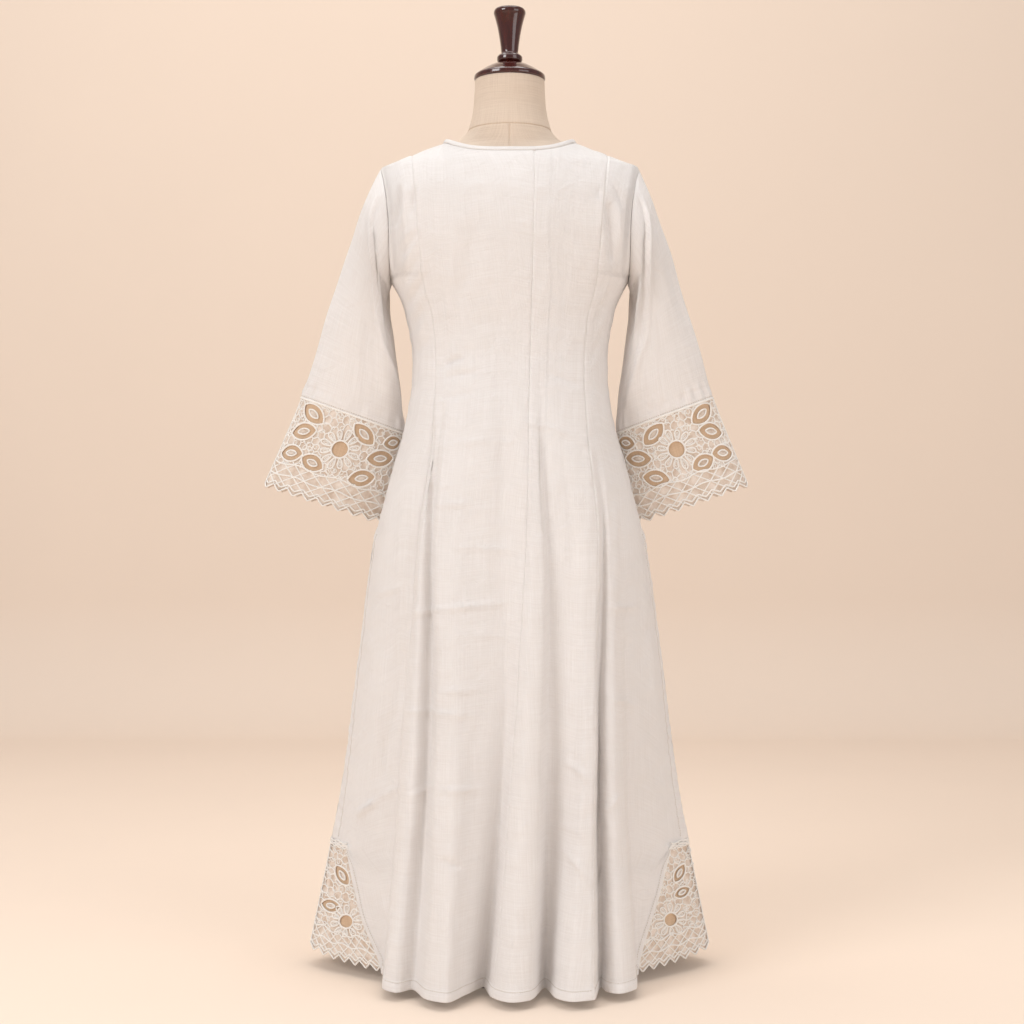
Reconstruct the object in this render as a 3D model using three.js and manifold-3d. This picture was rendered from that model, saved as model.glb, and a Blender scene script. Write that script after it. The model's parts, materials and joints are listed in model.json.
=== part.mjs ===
// A long kameez with bell sleeves, lace cuffs and lace corners at its side slits, worn by a limbless dress form.
// Millimetres, +Z up. The origin is the centre of the stand's underside, on the floor.
// The garment's back faces -Y and its front +Y; left and right are the wearer's own, with -X on the left.
import * as THREE from "three";
import { mergeVertices } from "three/addons/utils/BufferGeometryUtils.js";
import Module from "manifold-3d";

const wasm = await Module();
wasm.setup();

// ---- Driving dimensions ----
const clothThickness = 1.2;
const laceThickness = 1;
const liningThickness = 1;
const seamGap = 0.3; // between pieces that are sewn to each other
const hemZ = 12; // the lowest fold of the hem
const hemLiftAtSlit = 13; // how much higher the hem hangs at the slits
const kneeZ = 422;
const hipZ = 723;
const slitTopZ = 650;
const armpitZ = 1020;
const shoulderTipZ = 1190;
const neckPointZ = 1226.5; // where the binding's seam crosses the shoulder seam
const neckHalfWidth = 100.5;
const backNeckDrop = 25;
const frontNeckDrop = 88;
const slitHalfOpening = 7; // at the hem
const foldGrowth = 1.2; // how a fold deepens on its way down
const laceCornerTopZ = 186;
const laceCornerTopWidth = 52;
const bindingWidth = 7.5;
const bindingThickness = 1;
const toothDepth = 9; // of the lace's pointed edge
const cuffHeight = 142;
const teethPerCuffFace = 9;
const teethPerCorner = 7;
const plateRadius = 148;
const plateThickness = 10;
const poleRadius = 16;
const torsoBottomZ = 700;
const neckTopZ = 1321.7;

// The garment's body from hem to neck: half its width, how far its back and front stand off the side seams,
// and the two powers of the section, depth * (1 - (x / halfWidth) ^ power) ^ fall.
const bodySections = [
  { z: 12, halfWidth: 302, back: 180, front: 174, power: 2, fall: 0.85 },
  { z: 186, halfWidth: 266, back: 166, front: 160, power: 2, fall: 0.74 },
  { z: 283, halfWidth: 249, back: 158, front: 151, power: 2.05, fall: 0.66 },
  { z: 484, halfWidth: 222, back: 144, front: 137, power: 2.15, fall: 0.53 },
  { z: 634, halfWidth: 202, back: 134, front: 129, power: 2.25, fall: 0.46 },
  { z: 723, halfWidth: 180, back: 127, front: 122, power: 2.3, fall: 0.44 },
  { z: 792, halfWidth: 160, back: 118, front: 114, power: 2.3, fall: 0.44 },
  { z: 832, halfWidth: 152, back: 110, front: 108, power: 2.3, fall: 0.44 },
  { z: 874, halfWidth: 146.5, back: 101, front: 103, power: 2.3, fall: 0.44 },
  { z: 912, halfWidth: 146, back: 96, front: 101, power: 2.3, fall: 0.44 },
  { z: 944, halfWidth: 150, back: 96, front: 106, power: 2.3, fall: 0.44 },
  { z: 980, halfWidth: 158, back: 100, front: 117, power: 2.3, fall: 0.44 },
  { z: 1020, halfWidth: 177, back: 106, front: 127, power: 2.3, fall: 0.44 },
  { z: 1045, halfWidth: 191, back: 109, front: 130, power: 2.3, fall: 0.44 },
  { z: 1090, halfWidth: 201, back: 113, front: 125, power: 2.3, fall: 0.44 },
  { z: 1140, halfWidth: 204, back: 109, front: 109, power: 2.3, fall: 0.46 },
  { z: 1166, halfWidth: 201, back: 101, front: 97, power: 2.3, fall: 0.52 },
  { z: 1190, halfWidth: 193, back: 90, front: 82, power: 2.3, fall: 0.64 },
  { z: 1200, halfWidth: 170, back: 82, front: 75, power: 2.3, fall: 0.67 },
  { z: 1210, halfWidth: 145, back: 74, front: 69, power: 2.3, fall: 0.68 },
  { z: 1220, halfWidth: 119, back: 66, front: 62, power: 2.3, fall: 0.68 },
  { z: 1229, halfWidth: 94, back: 57, front: 55, power: 2.3, fall: 0.68 },
];

// How far the sleeves' armhole seam lies from the centre, and where the long seams run above the hip.
const seamLines = [
  { z: 723, princess: 120, centre: 26, armhole: 180 },
  { z: 776, princess: 114, centre: 27, armhole: 164 },
  { z: 832, princess: 111, centre: 28, armhole: 152 },
  { z: 880, princess: 109, centre: 29, armhole: 146 },
  { z: 951, princess: 113, centre: 31, armhole: 151 },
  { z: 1000, princess: 125, centre: 32, armhole: 167 },
  { z: 1020, princess: 128, centre: 33, armhole: 177 },
  { z: 1081, princess: 133, centre: 34, armhole: 177 },
  { z: 1127, princess: 137, centre: 35, armhole: 180 },
  { z: 1166, princess: 141, centre: 36, armhole: 187 },
  { z: 1190, princess: 144, centre: 36, armhole: 193 },
  { z: 1229, princess: 148, centre: 36, armhole: 193 },
];

// Lines that run down the back from the hip to the hem, in order from the left slit to the right one.
// hip, knee and hem are shares of the half width there; rise is how far the line stands out at the hem,
// and start is the height where it begins to. A seam's name marks the edge of a piece.
const backLines = [
  { name: "slit edge left", seam: "edgeLeft", knee: -1, hem: -1, rise: slitHalfOpening, start: slitTopZ },
  { name: "side ridge left", hip: -0.93, knee: -0.85, hem: -0.9, rise: 3, start: 600 },
  { name: "side hollow left", hip: -0.84, knee: -0.73, hem: -0.77, rise: -9, start: 600 },
  { name: "fold A foot", hip: -0.775, knee: -0.665, hem: -0.606, rise: -12, start: 520 },
  { name: "fold A edge", seam: "princessLeft", knee: -0.638, hem: -0.578, rise: 68, start: 600 },
  { name: "fold A crest", hip: -0.64, knee: -0.58, hem: -0.523, rise: 74, start: 850 },
  { name: "hollow A B", hip: -0.59, knee: -0.486, hem: -0.444, rise: 44, start: 560 },
  { name: "fold B edge", hip: -0.54, knee: -0.431, hem: -0.368, rise: 84, start: 860 },
  { name: "fold B crest", hip: -0.438, knee: -0.34, hem: -0.29, rise: 90, start: 850 },
  { name: "fold B side", hip: -0.2, knee: -0.17, hem: -0.199, rise: 42, start: 850 },
  { name: "hollow B C", hip: -0.03, knee: -0.03, hem: -0.119, rise: 0, start: 700 },
  { name: "fold C edge", seam: "centre", knee: 0.047, hem: -0.0755, rise: 52, start: 780 },
  { name: "fold C crest", hip: 0.18, knee: 0.12, hem: 0.01, rise: 76, start: 850 },
  { name: "fold C side", hip: 0.245, knee: 0.195, hem: 0.091, rise: 66, start: 870 },
  { name: "hollow C D", hip: 0.29, knee: 0.25, hem: 0.162, rise: 5, start: 640 },
  { name: "fold D edge", hip: 0.416, knee: 0.4, hem: 0.215, rise: 62, start: 700 },
  { name: "fold D crest", hip: 0.54, knee: 0.47, hem: 0.291, rise: 86, start: 800 },
  { name: "fold D side", seam: "princessRight", knee: 0.525, hem: 0.3735, rise: 87, start: 800 },
  { name: "hollow D E", hip: 0.715, knee: 0.556, hem: 0.42, rise: 26, start: 600 },
  { name: "fold E edge", hip: 0.76, knee: 0.59, hem: 0.453, rise: 58, start: 760 },
  { name: "fold E crest", hip: 0.82, knee: 0.64, hem: 0.512, rise: 76, start: 740 },
  { name: "fold E side", hip: 0.87, knee: 0.69, hem: 0.579, rise: 67, start: 620 },
  { name: "fold E foot", hip: 0.91, knee: 0.735, hem: 0.606, rise: -6, start: 520 },
  { name: "side hollow right", hip: 0.95, knee: 0.85, hem: 0.78, rise: -7, start: 600 },
  { name: "slit edge right", seam: "edgeRight", knee: 1, hem: 1, rise: slitHalfOpening, start: slitTopZ },
];

const frontLines = [
  { name: "slit edge left", seam: "edgeLeft", knee: -1, hem: -1, rise: slitHalfOpening, start: slitTopZ },
  { name: "side hollow left", hip: -0.92, knee: -0.84, hem: -0.8, rise: -6, start: 600 },
  { name: "fold 1 foot", hip: -0.79, knee: -0.7, hem: -0.615, rise: -6, start: 520 },
  { name: "fold 1 edge", seam: "princessLeft", knee: -0.65, hem: -0.585, rise: 58, start: 620 },
  { name: "fold 1 crest", hip: -0.57, knee: -0.57, hem: -0.5, rise: 68, start: 820 },
  { name: "hollow 1 2", hip: -0.43, knee: -0.45, hem: -0.39, rise: 14, start: 640 },
  { name: "fold 2 crest", hip: -0.28, knee: -0.3, hem: -0.26, rise: 74, start: 800 },
  { name: "hollow 2 3", hip: -0.12, knee: -0.13, hem: -0.11, rise: 2, start: 620 },
  { name: "fold 3 crest", hip: 0.04, knee: 0.03, hem: 0.02, rise: 70, start: 780 },
  { name: "hollow 3 4", hip: 0.19, knee: 0.18, hem: 0.15, rise: 6, start: 600 },
  { name: "fold 4 crest", hip: 0.32, knee: 0.32, hem: 0.29, rise: 78, start: 820 },
  { name: "hollow 4 5", hip: 0.43, knee: 0.45, hem: 0.42, rise: 18, start: 640 },
  { name: "fold 5 crest", hip: 0.55, knee: 0.56, hem: 0.53, rise: 66, start: 800 },
  { name: "fold 5 edge", seam: "princessRight", knee: 0.64, hem: 0.59, rise: 50, start: 620 },
  { name: "fold 5 foot", hip: 0.79, knee: 0.71, hem: 0.62, rise: -8, start: 520 },
  { name: "side hollow right", hip: 0.92, knee: 0.85, hem: 0.79, rise: -7, start: 600 },
  { name: "slit edge right", seam: "edgeRight", knee: 1, hem: 1, rise: slitHalfOpening, start: slitTopZ },
];

// The hanging sleeve below its armhole seam: the outer and the underarm edge in the X-Z plane,
// half its thickness from back to front, and how far it swings forward.
const sleeveRings = [
  { outerX: 206, outerZ: 1166, innerX: 179, innerZ: 1015, halfThickness: 68, forward: 0 },
  { outerX: 222, outerZ: 1124, innerX: 177, innerZ: 999, halfThickness: 66, forward: 1 },
  { outerX: 238, outerZ: 1082, innerX: 173, innerZ: 976, halfThickness: 61, forward: 4 },
  { outerX: 254, outerZ: 1036, innerX: 169, innerZ: 946, halfThickness: 56, forward: 9 },
  { outerX: 275, outerZ: 976, innerX: 165, innerZ: 903, halfThickness: 50, forward: 17 },
  { outerX: 295, outerZ: 914, innerX: 161, innerZ: 852, halfThickness: 44, forward: 28 },
  { outerX: 316, outerZ: 850, innerX: 163, innerZ: 796, halfThickness: 38, forward: 40 },
  { outerX: 345, outerZ: 783, innerX: 174, innerZ: 727, halfThickness: 35, forward: 48 },
  { outerX: 377, outerZ: 714, innerX: 191, innerZ: 654, halfThickness: 33, forward: 56 },
];
const sleeves = [
  { name: "left", sign: -1, reach: 1 },
  { name: "right", sign: 1, reach: 0.94 }, // how far its outer edge goes out, against the other's
];
const cuffSeamRing = 6; // the row of sleeveRings where the lace is sewn on
const cuffEndRing = 8;
const sleeveRows = [0.1, 0.8, 1.6, 2.5, 3.4, 4.3, 5.2, 6];
// Long soft folds down the sleeve: where they lie round it, in turns from its outer edge towards the back,
// how wide they are in turns, how deep, and between which rings they run.
const sleeveFolds = [
  { turn: 0.13, width: 0.07, depth: -6, from: 1.5, to: 6 },
  { turn: 0.27, width: 0.06, depth: -9, from: 1, to: 5.6 },
  { turn: 0.37, width: 0.05, depth: 6, from: 1.5, to: 5.8 },
  { turn: 0.44, width: 0.05, depth: -10, from: 0.6, to: 3.6 },
  { turn: 0.64, width: 0.07, depth: -8, from: 1, to: 5.6 },
  { turn: 0.8, width: 0.06, depth: -6, from: 1.5, to: 5.8 },
];

// What is cut out of the lace: across and down are shares of the face's width and height, from its outer
// upper corner, turn is in degrees, and length and width are the gap's own.
const cuffMotifs = [
  { kind: "flower", across: 0.495, down: 0.395, turn: 8, length: 25, width: 25 },
  { kind: "almond", across: 0.215, down: 0.13, turn: 25, length: 35, width: 20 },
  { kind: "almond", across: 0.185, down: 0.335, turn: -21, length: 32, width: 19 },
  { kind: "almond", across: 0.15, down: 0.585, turn: -12, length: 28, width: 18 },
  { kind: "almond", across: 0.33, down: 0.615, turn: 11, length: 28, width: 18 },
  { kind: "almond", across: 0.64, down: 0.165, turn: 31, length: 34, width: 19 },
  { kind: "almond", across: 0.88, down: 0.15, turn: -26, length: 22, width: 16 },
  { kind: "almond", across: 0.805, down: 0.355, turn: -19, length: 33, width: 19 },
  { kind: "almond", across: 0.705, down: 0.61, turn: -24, length: 32, width: 19 },
  { kind: "diamond", across: 0.42, down: 0.12, turn: 0, length: 13, width: 11 },
];
const cuffDiamondRows = [{ down: 0.8, count: 6, length: 13, width: 10 }];
const cornerMotifs = {
  left: [
    { kind: "almond", across: 0.64, down: 0.25, turn: 22, length: 33, width: 18 },
    { kind: "almond", across: 0.37, down: 0.54, turn: -14, length: 32, width: 18 },
    { kind: "flower", across: 0.75, down: 0.63, turn: 10, length: 20, width: 20 },
  ],
  right: [
    { kind: "almond", across: 0.48, down: 0.24, turn: 30, length: 33, width: 18 },
    { kind: "almond", across: 0.38, down: 0.42, turn: -14, length: 28, width: 17 },
    { kind: "flower", across: 0.61, down: 0.59, turn: 10, length: 20, width: 20 },
  ],
};
const cornerDiamondRows = [{ down: 0.86, count: 4, length: 12, width: 9 }];

// The form inside: half widths and depths of its level sections.
const torsoSections = [
  { z: 700, halfWidth: 172, back: 117, front: 112, power: 2.3, fall: 0.44 },
  { z: 792, halfWidth: 151, back: 110, front: 106, power: 2.3, fall: 0.44 },
  { z: 832, halfWidth: 143, back: 102, front: 100, power: 2.3, fall: 0.44 },
  { z: 912, halfWidth: 137, back: 88, front: 92, power: 2.3, fall: 0.44 },
  { z: 980, halfWidth: 149, back: 92, front: 108, power: 2.3, fall: 0.44 },
  { z: 1020, halfWidth: 162, back: 99, front: 118, power: 2.3, fall: 0.44 },
  { z: 1100, halfWidth: 173, back: 107, front: 117, power: 2.3, fall: 0.44 },
  { z: 1140, halfWidth: 178, back: 104, front: 104, power: 2.3, fall: 0.44 },
  { z: 1166, halfWidth: 183, back: 97, front: 93, power: 2.3, fall: 0.52 },
  { z: 1190, halfWidth: 187.6, back: 84.5, front: 76.5, power: 2.2, fall: 0.68 },
  { z: 1200, halfWidth: 165.4, back: 77.5, front: 71, power: 2, fall: 0.72 },
  { z: 1210, halfWidth: 139, back: 71, front: 67.5, power: 1.7, fall: 0.76 },
  { z: 1220, halfWidth: 107, back: 67, front: 65, power: 1.65, fall: 0.76 },
  { z: 1229, halfWidth: 79, back: 64.5, front: 63.8, power: 1.9, fall: 0.62 },
  { z: 1245, halfWidth: 63, back: 63, front: 63, power: 2, fall: 0.5 },
  { z: 1285, halfWidth: 54, back: 54, front: 54, power: 2, fall: 0.5 },
  { z: 1321.7, halfWidth: 52, back: 52, front: 52, power: 2, fall: 0.5 },
];

// Outlines turned round the upright axis: radius and height above the neck's top.
const capProfile = [
  { r: 0, h: 0.3 },
  { r: 51, h: 0.3 },
  { r: 53.5, h: 3 },
  { r: 53, h: 7 },
  { r: 49, h: 11.5 },
  { r: 40, h: 18 },
  { r: 28, h: 24 },
  { r: 18, h: 27 },
  { r: 0, h: 27 },
];
const finialProfile = [
  { r: 0, h: 27.3 },
  { r: 16, h: 27.3 },
  { r: 19, h: 31 },
  { r: 19, h: 35.5 },
  { r: 16, h: 39 },
  { r: 13, h: 42 },
  { r: 15, h: 60 },
  { r: 18.5, h: 80 },
  { r: 24, h: 101 },
  { r: 22, h: 107 },
  { r: 0, h: 110.3 },
];

// ---- Helpers ----
const lerp = THREE.MathUtils.lerp;
const clamp = THREE.MathUtils.clamp;

// A smooth curve through points that never overshoots them (monotone cubic).
function smoothCurve(xs, ys) {
  const slopes = xs.slice(1).map((x, i) => (ys[i + 1] - ys[i]) / (x - xs[i]));
  const tangents = xs.map((_, i) => {
    if (i === 0) return slopes[0];
    if (i === xs.length - 1) return slopes[i - 1];
    const [before, after] = [slopes[i - 1], slopes[i]];
    return before * after <= 0 ? 0 : (2 * before * after) / (before + after);
  });
  return (x) => {
    const at = clamp(x, xs[0], xs[xs.length - 1]);
    let i = 0;
    while (i < xs.length - 2 && at > xs[i + 1]) i += 1;
    const width = xs[i + 1] - xs[i];
    const t = (at - xs[i]) / width;
    const rest = 1 - t;
    return (
      ys[i] * rest * rest * (1 + 2 * t) +
      ys[i + 1] * t * t * (3 - 2 * t) +
      tangents[i] * width * t * rest * rest -
      tangents[i + 1] * width * t * t * rest
    );
  };
}

const column = (rows, key, along = "z") =>
  smoothCurve(
    rows.map((row) => row[along]),
    rows.map((row) => row[key]),
  );

// Halves the interval until test(value) changes from false to true.
function searchFor(low, high, test) {
  for (let step = 0; step < 40; step += 1) {
    const middle = (low + high) / 2;
    if (test(middle)) high = middle;
    else low = middle;
  }
  return (low + high) / 2;
}

// Moves the first and last entries of a row or a column towards their neighbours by a distance.
function pullIn(points, distance) {
  const last = points.length - 1;
  const moved = points.map((p) => p.clone());
  moved[0].addScaledVector(points[1].clone().sub(points[0]).normalize(), distance);
  moved[last].addScaledVector(points[last - 1].clone().sub(points[last]).normalize(), distance);
  return moved;
}

// A closed wall between two grids of points, rows by columns. A tube's columns close on themselves.
function wallGeometry(outer, inner, isTube = false) {
  const rows = outer.length;
  const columns = outer[0].length;
  const spans = isTube ? columns : columns - 1;
  const vertices = [...outer.flat(), ...inner.flat()];
  const faces = [];
  const at = (layer, row, col) => layer * rows * columns + row * columns + (col % columns);
  const quad = (a, b, c, d) => faces.push(a, b, c, a, c, d);
  for (let row = 0; row < rows - 1; row += 1) {
    for (let col = 0; col < spans; col += 1) {
      quad(at(0, row, col), at(0, row, col + 1), at(0, row + 1, col + 1), at(0, row + 1, col));
      quad(at(1, row, col), at(1, row + 1, col), at(1, row + 1, col + 1), at(1, row, col + 1));
    }
    if (!isTube) {
      quad(at(0, row, 0), at(0, row + 1, 0), at(1, row + 1, 0), at(1, row, 0));
      quad(at(0, row, spans), at(1, row, spans), at(1, row + 1, spans), at(0, row + 1, spans));
    }
  }
  for (let col = 0; col < spans; col += 1) {
    quad(at(0, 0, col), at(1, 0, col), at(1, 0, col + 1), at(0, 0, col + 1));
    quad(at(0, rows - 1, col), at(0, rows - 1, col + 1), at(1, rows - 1, col + 1), at(1, rows - 1, col));
  }
  return outwardGeometry(vertices, faces);
}

// Turns the faces round if they enclose a negative volume.
function outwardGeometry(vertices, faces) {
  let volume = 0;
  for (let i = 0; i < faces.length; i += 3) {
    const [a, b, c] = [vertices[faces[i]], vertices[faces[i + 1]], vertices[faces[i + 2]]];
    volume += a.dot(b.clone().cross(c));
  }
  const index = volume < 0 ? [...faces].reverse() : faces;
  const positions = new Float32Array(vertices.flatMap((p) => [p.x, p.y, p.z]));
  const geometry = new THREE.BufferGeometry();
  geometry.setAttribute("position", new THREE.BufferAttribute(positions, 3));
  geometry.setIndex(index);
  return geometry;
}

function solidOf(geometry) {
  const bare = geometry.clone();
  bare.deleteAttribute("normal");
  bare.deleteAttribute("uv");
  const merged = mergeVertices(bare, 1e-4);
  return new wasm.Manifold(
    new wasm.Mesh({
      numProp: 3,
      vertProperties: merged.attributes.position.array,
      triVerts: new Uint32Array(merged.index.array),
    }),
  );
}

function geometryOf(solid) {
  const mesh = solid.getMesh();
  const geometry = new THREE.BufferGeometry();
  geometry.setAttribute("position", new THREE.BufferAttribute(mesh.vertProperties, 3));
  geometry.setIndex(new THREE.BufferAttribute(mesh.triVerts, 1));
  return geometry;
}

// ---- The body of the garment as a surface ----
const halfWidthAt = column(bodySections, "halfWidth");
const depthAt = { back: column(bodySections, "back"), front: column(bodySections, "front") };
const powerAt = column(bodySections, "power");
const fallAt = column(bodySections, "fall");
const princessAt = column(seamLines, "princess");
const centreAt = column(seamLines, "centre");
const armholeAt = column(seamLines, "armhole");

const edgeAt = (z) => (z < armpitZ ? halfWidthAt(z) : armholeAt(z));
const seamAt = {
  edgeLeft: (z) => -edgeAt(z),
  princessLeft: (z) => -princessAt(z),
  centre: centreAt,
  princessRight: princessAt,
  edgeRight: edgeAt,
};

function sectionDepth(side, x, z) {
  const share = Math.min(Math.abs(x) / halfWidthAt(z), 1);
  return depthAt[side](z) * (1 - share ** powerAt(z)) ** fallAt(z);
}

// A half of the body, with its lines ready to be asked for x and for how far they stand out.
function makeHalf(side, lines) {
  const seams = lines.map((line, i) => i).filter((i) => lines[i].seam);
  const hipX = (i) => (lines[i].seam ? seamAt[lines[i].seam](hipZ) : lines[i].hip * halfWidthAt(hipZ));
  const lower = lines.map((line, i) =>
    smoothCurve([hemZ, kneeZ, hipZ], [line.hem, line.knee, hipX(i) / halfWidthAt(hipZ)]),
  );
  const index = lines.map((_, i) => i);

  // Above the hip a line keeps its share of the way between the seams on either side of it.
  function lineX(i, z) {
    if (z < hipZ) return lower[i](z) * halfWidthAt(z);
    if (lines[i].seam) return seamAt[lines[i].seam](z);
    const right = seams.find((seam) => seam > i);
    const left = seams[seams.indexOf(right) - 1];
    const share = (hipX(i) - hipX(left)) / (hipX(right) - hipX(left));
    return lerp(seamAt[lines[left].seam](z), seamAt[lines[right].seam](z), share);
  }

  function lineRise(i, z) {
    const { rise, start } = lines[i];
    const way = clamp((start - z) / (start - hemZ), 0, 1.02);
    return rise * way ** foldGrowth;
  }

  const xAt = (u, z) => smoothCurve(index, index.map((i) => lineX(i, z)))(u);

  function pointAt(u, z) {
    const x = xAt(u, z);
    const rise = smoothCurve(index, index.map((i) => lineRise(i, z)))(u);
    const depth = sectionDepth(side, x, z) + rise;
    return new THREE.Vector3(x, side === "back" ? -depth : depth, z);
  }

  // The height of the garment's upper edge: the neckline, and outside it the shoulder seam.
  function edgeZ(x) {
    const share = Math.abs(x) / neckHalfWidth;
    if (share < 1 && side === "back") return neckPointZ - backNeckDrop * (1 - share ** 3.5);
    if (share < 1) return neckPointZ - frontNeckDrop * Math.sqrt(1 - share ** 2.2);
    return searchFor(shoulderTipZ, neckPointZ, (z) => halfWidthAt(z) < Math.abs(x));
  }
  const topAt = (u) => searchFor(armpitZ, neckPointZ + 1, (z) => z > edgeZ(xAt(u, z)));

  const hemAt = (u) => {
    const share = Math.abs(xAt(u, hemZ)) / halfWidthAt(hemZ);
    return hemZ + hemLiftAtSlit * share ** 4;
  };
  return { side, lines, seams, xAt, pointAt, topAt, hemAt, edgeZ, last: lines.length - 1 };
}

const back = makeHalf("back", backLines);
const front = makeHalf("front", frontLines);

// The outward direction at a point of a half. At the slits, side seams and shoulder seams it has no Y part,
// so that the two halves' edges face each other.
function normalAt(half, u, z, onRidge) {
  const step = 0.02;
  const rise = 0.4;
  const across = half
    .pointAt(Math.min(u + step, half.last), z)
    .sub(half.pointAt(Math.max(u - step, 0), z));
  const up = half.pointAt(u, z + rise).sub(half.pointAt(u, z - rise));
  const normal = across.cross(up).normalize();
  if (half.side === "front") normal.negate();
  if (onRidge) normal.setY(0);
  return normal.normalize();
}

// Heights of the grid's rows: plain heights up to the armpit, then shares of the way to the upper edge.
const cornerBend = 0.5; // the share of the corner's height where it has a row of its own
const cornerBendZ = lerp(laceCornerTopZ, hemZ, cornerBend);
const lowerRowHeights = [hemZ, cornerBendZ, laceCornerTopZ, laceCornerTopZ + 2 * seamGap, 310, 470, 620, 735, 830, 912, 970, armpitZ];
// The upper rows end at columns of the sleeve's ring: turns from the shoulder's tip, in shares of half a turn.
const armholeTurns = [0.78, 0.61, 0.44, 0.31, 0.19, 0.1, 0.045, 0];
const upperRowShares = armholeTurns.map((turn) => (1 + Math.cos(Math.PI * turn)) / 2);

function rowHeight(half, u, row) {
  if (row >= lowerRowHeights.length) {
    return lerp(armpitZ, half.topAt(u), upperRowShares[row - lowerRowHeights.length]);
  }
  const share = (lowerRowHeights[row] - hemZ) / (laceCornerTopZ - hemZ);
  return share < 1 ? lerp(half.hemAt(u), laceCornerTopZ, share) : lowerRowHeights[row];
}
const rowCount = lowerRowHeights.length + upperRowShares.length;

// The edge of the cloth at a slit. Below the lace corner's top it runs slantwise to the foot of the first fold.
function slantEdge(half, z, isLeft) {
  if (z > laceCornerTopZ) return 0;
  const { left, right } = footLine[half.side];
  const foot = isLeft ? left : half.last - right;
  const width = (u) => {
    const place = isLeft ? u : half.last - u;
    const edge = isLeft ? 0 : half.last;
    return half.pointAt(place, laceCornerTopZ).distanceTo(half.pointAt(edge, laceCornerTopZ));
  };
  const top = searchFor(0, foot, (u) => width(u) > laceCornerTopWidth);
  return lerp(top, foot, (laceCornerTopZ - z) / (laceCornerTopZ - hemZ));
}
const lineIndex = (lines, name) => lines.findIndex((line) => line.name === name);
const footLine = {
  back: { left: lineIndex(backLines, "fold A foot"), right: lineIndex(backLines, "fold E foot") },
  front: { left: lineIndex(frontLines, "fold 1 foot"), right: lineIndex(frontLines, "fold 5 foot") },
};

// The columns of a piece between two seams: every line, half-way ones where two lines are far apart,
// and ones that end at the neckline's two corners.
function columnsBetween(half, first, last) {
  const widest = 34;
  const corners = neckCorners(half).filter((u) => u > first && u < last);
  const columns = [first];
  for (let u = first; u < last; u += 1) {
    const width = half.pointAt(u, hemZ).distanceTo(half.pointAt(u + 1, hemZ));
    if (width > widest) columns.push(u + 0.5);
    columns.push(u + 1);
  }
  const isFree = (u) => u === first || u === last || corners.every((corner) => Math.abs(corner - u) > 0.22);
  return [...columns.filter(isFree), ...corners].sort((a, b) => a - b);
}

// The neckline runs steeply beside its corners, so it has columns there at these shares of its half width.
const neckShares = { back: [1, 0.97], front: [1, 0.985, 0.94] };
function neckCorners(half) {
  const shares = neckShares[half.side];
  const besideRidge = neckPointZ - 12;
  return [...shares.map((share) => -share), ...[...shares].reverse()].map((share) => {
    const z = Math.min(half.edgeZ(share * neckHalfWidth * 0.9999), besideRidge);
    return searchFor(0, half.last, (u) => half.xAt(u, z) > share * neckHalfWidth);
  });
}

// One piece of the body as a wall, with its edges drawn back from the seams.
function panelGeometry(half, first, last) {
  const columns = columnsBetween(half, first, last);
  const outer = [];
  const normals = [];
  for (let row = 0; row < rowCount; row += 1) {
    const isTop = row === rowCount - 1;
    const cut = row <= lowerRowHeights.indexOf(laceCornerTopZ);
    const places = columns.map((u) => {
      const { left, right } = footLine[half.side];
      if (cut && u < left) return lerp(slantEdge(half, lowerRowHeights[row], true), left, u / left);
      if (!cut || u <= right) return u;
      const slant = half.last - slantEdge(half, lowerRowHeights[row], false);
      return lerp(right, slant, (u - right) / (half.last - right));
    });
    outer.push(places.map((u) => half.pointAt(u, rowHeight(half, u, row))));
    normals.push(
      places.map((u) => {
        const z = rowHeight(half, u, row);
        const isShoulder = isTop && Math.abs(half.xAt(u, z)) >= neckHalfWidth;
        const isSideSeam = (u === 0 || u === half.last) && z <= armpitZ;
        return normalAt(half, u, isTop ? z - 1 : z, isSideSeam || isShoulder);
      }),
    );
  }
  return clothWall(outer, normals, clothThickness);
}

// A wall that lies inset behind a grid of points, drawn back from the seams at its edges.
function clothWall(outer, normals, thickness, { inset = 0, isTube = false } = {}) {
  const drawBack = (grid) => {
    const across = isTube ? grid : grid.map((row) => pullIn(row, seamGap / 2));
    const turned = across[0].map((_, col) => pullIn(across.map((row) => row[col]), seamGap / 2));
    return across.map((_, row) => turned.map((col) => col[row]));
  };
  const moved = (distance) =>
    drawBack(outer.map((row, i) => row.map((p, j) => p.clone().addScaledVector(normals[i][j], -distance))));
  return wallGeometry(moved(inset), moved(inset + thickness), isTube);
}

// ---- Sleeves ----
const ringAt = Object.fromEntries(
  Object.keys(sleeveRings[0]).map((key) => [
    key,
    smoothCurve(sleeveRings.map((_, i) => i), sleeveRings.map((ring) => ring[key])),
  ]),
);

// How far round the sleeve each column lies, in turns from the outer edge by way of the back.
const betweenTurns = [0.375, 0.5, 0.555, 0.665, 0.72, 0.89, 1];
const sleeveHalf = [...armholeTurns, ...betweenTurns].sort((a, b) => a - b).map((turn) => turn / 2);
const cuffHalf = [0, 0.1, 0.19, 0.375, 0.5, 0.61, 0.78, 0.89, 1].map((turn) => turn / 2);
const mirrored = (turns) => [...turns].reverse().map((turn) => 1 - turn);
const wholeRing = (turns) => [...turns, ...mirrored(turns).slice(1, -1)];
const sleeveTurns = wholeRing(sleeveHalf);
const cuffTurns = wholeRing(cuffHalf);

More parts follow.
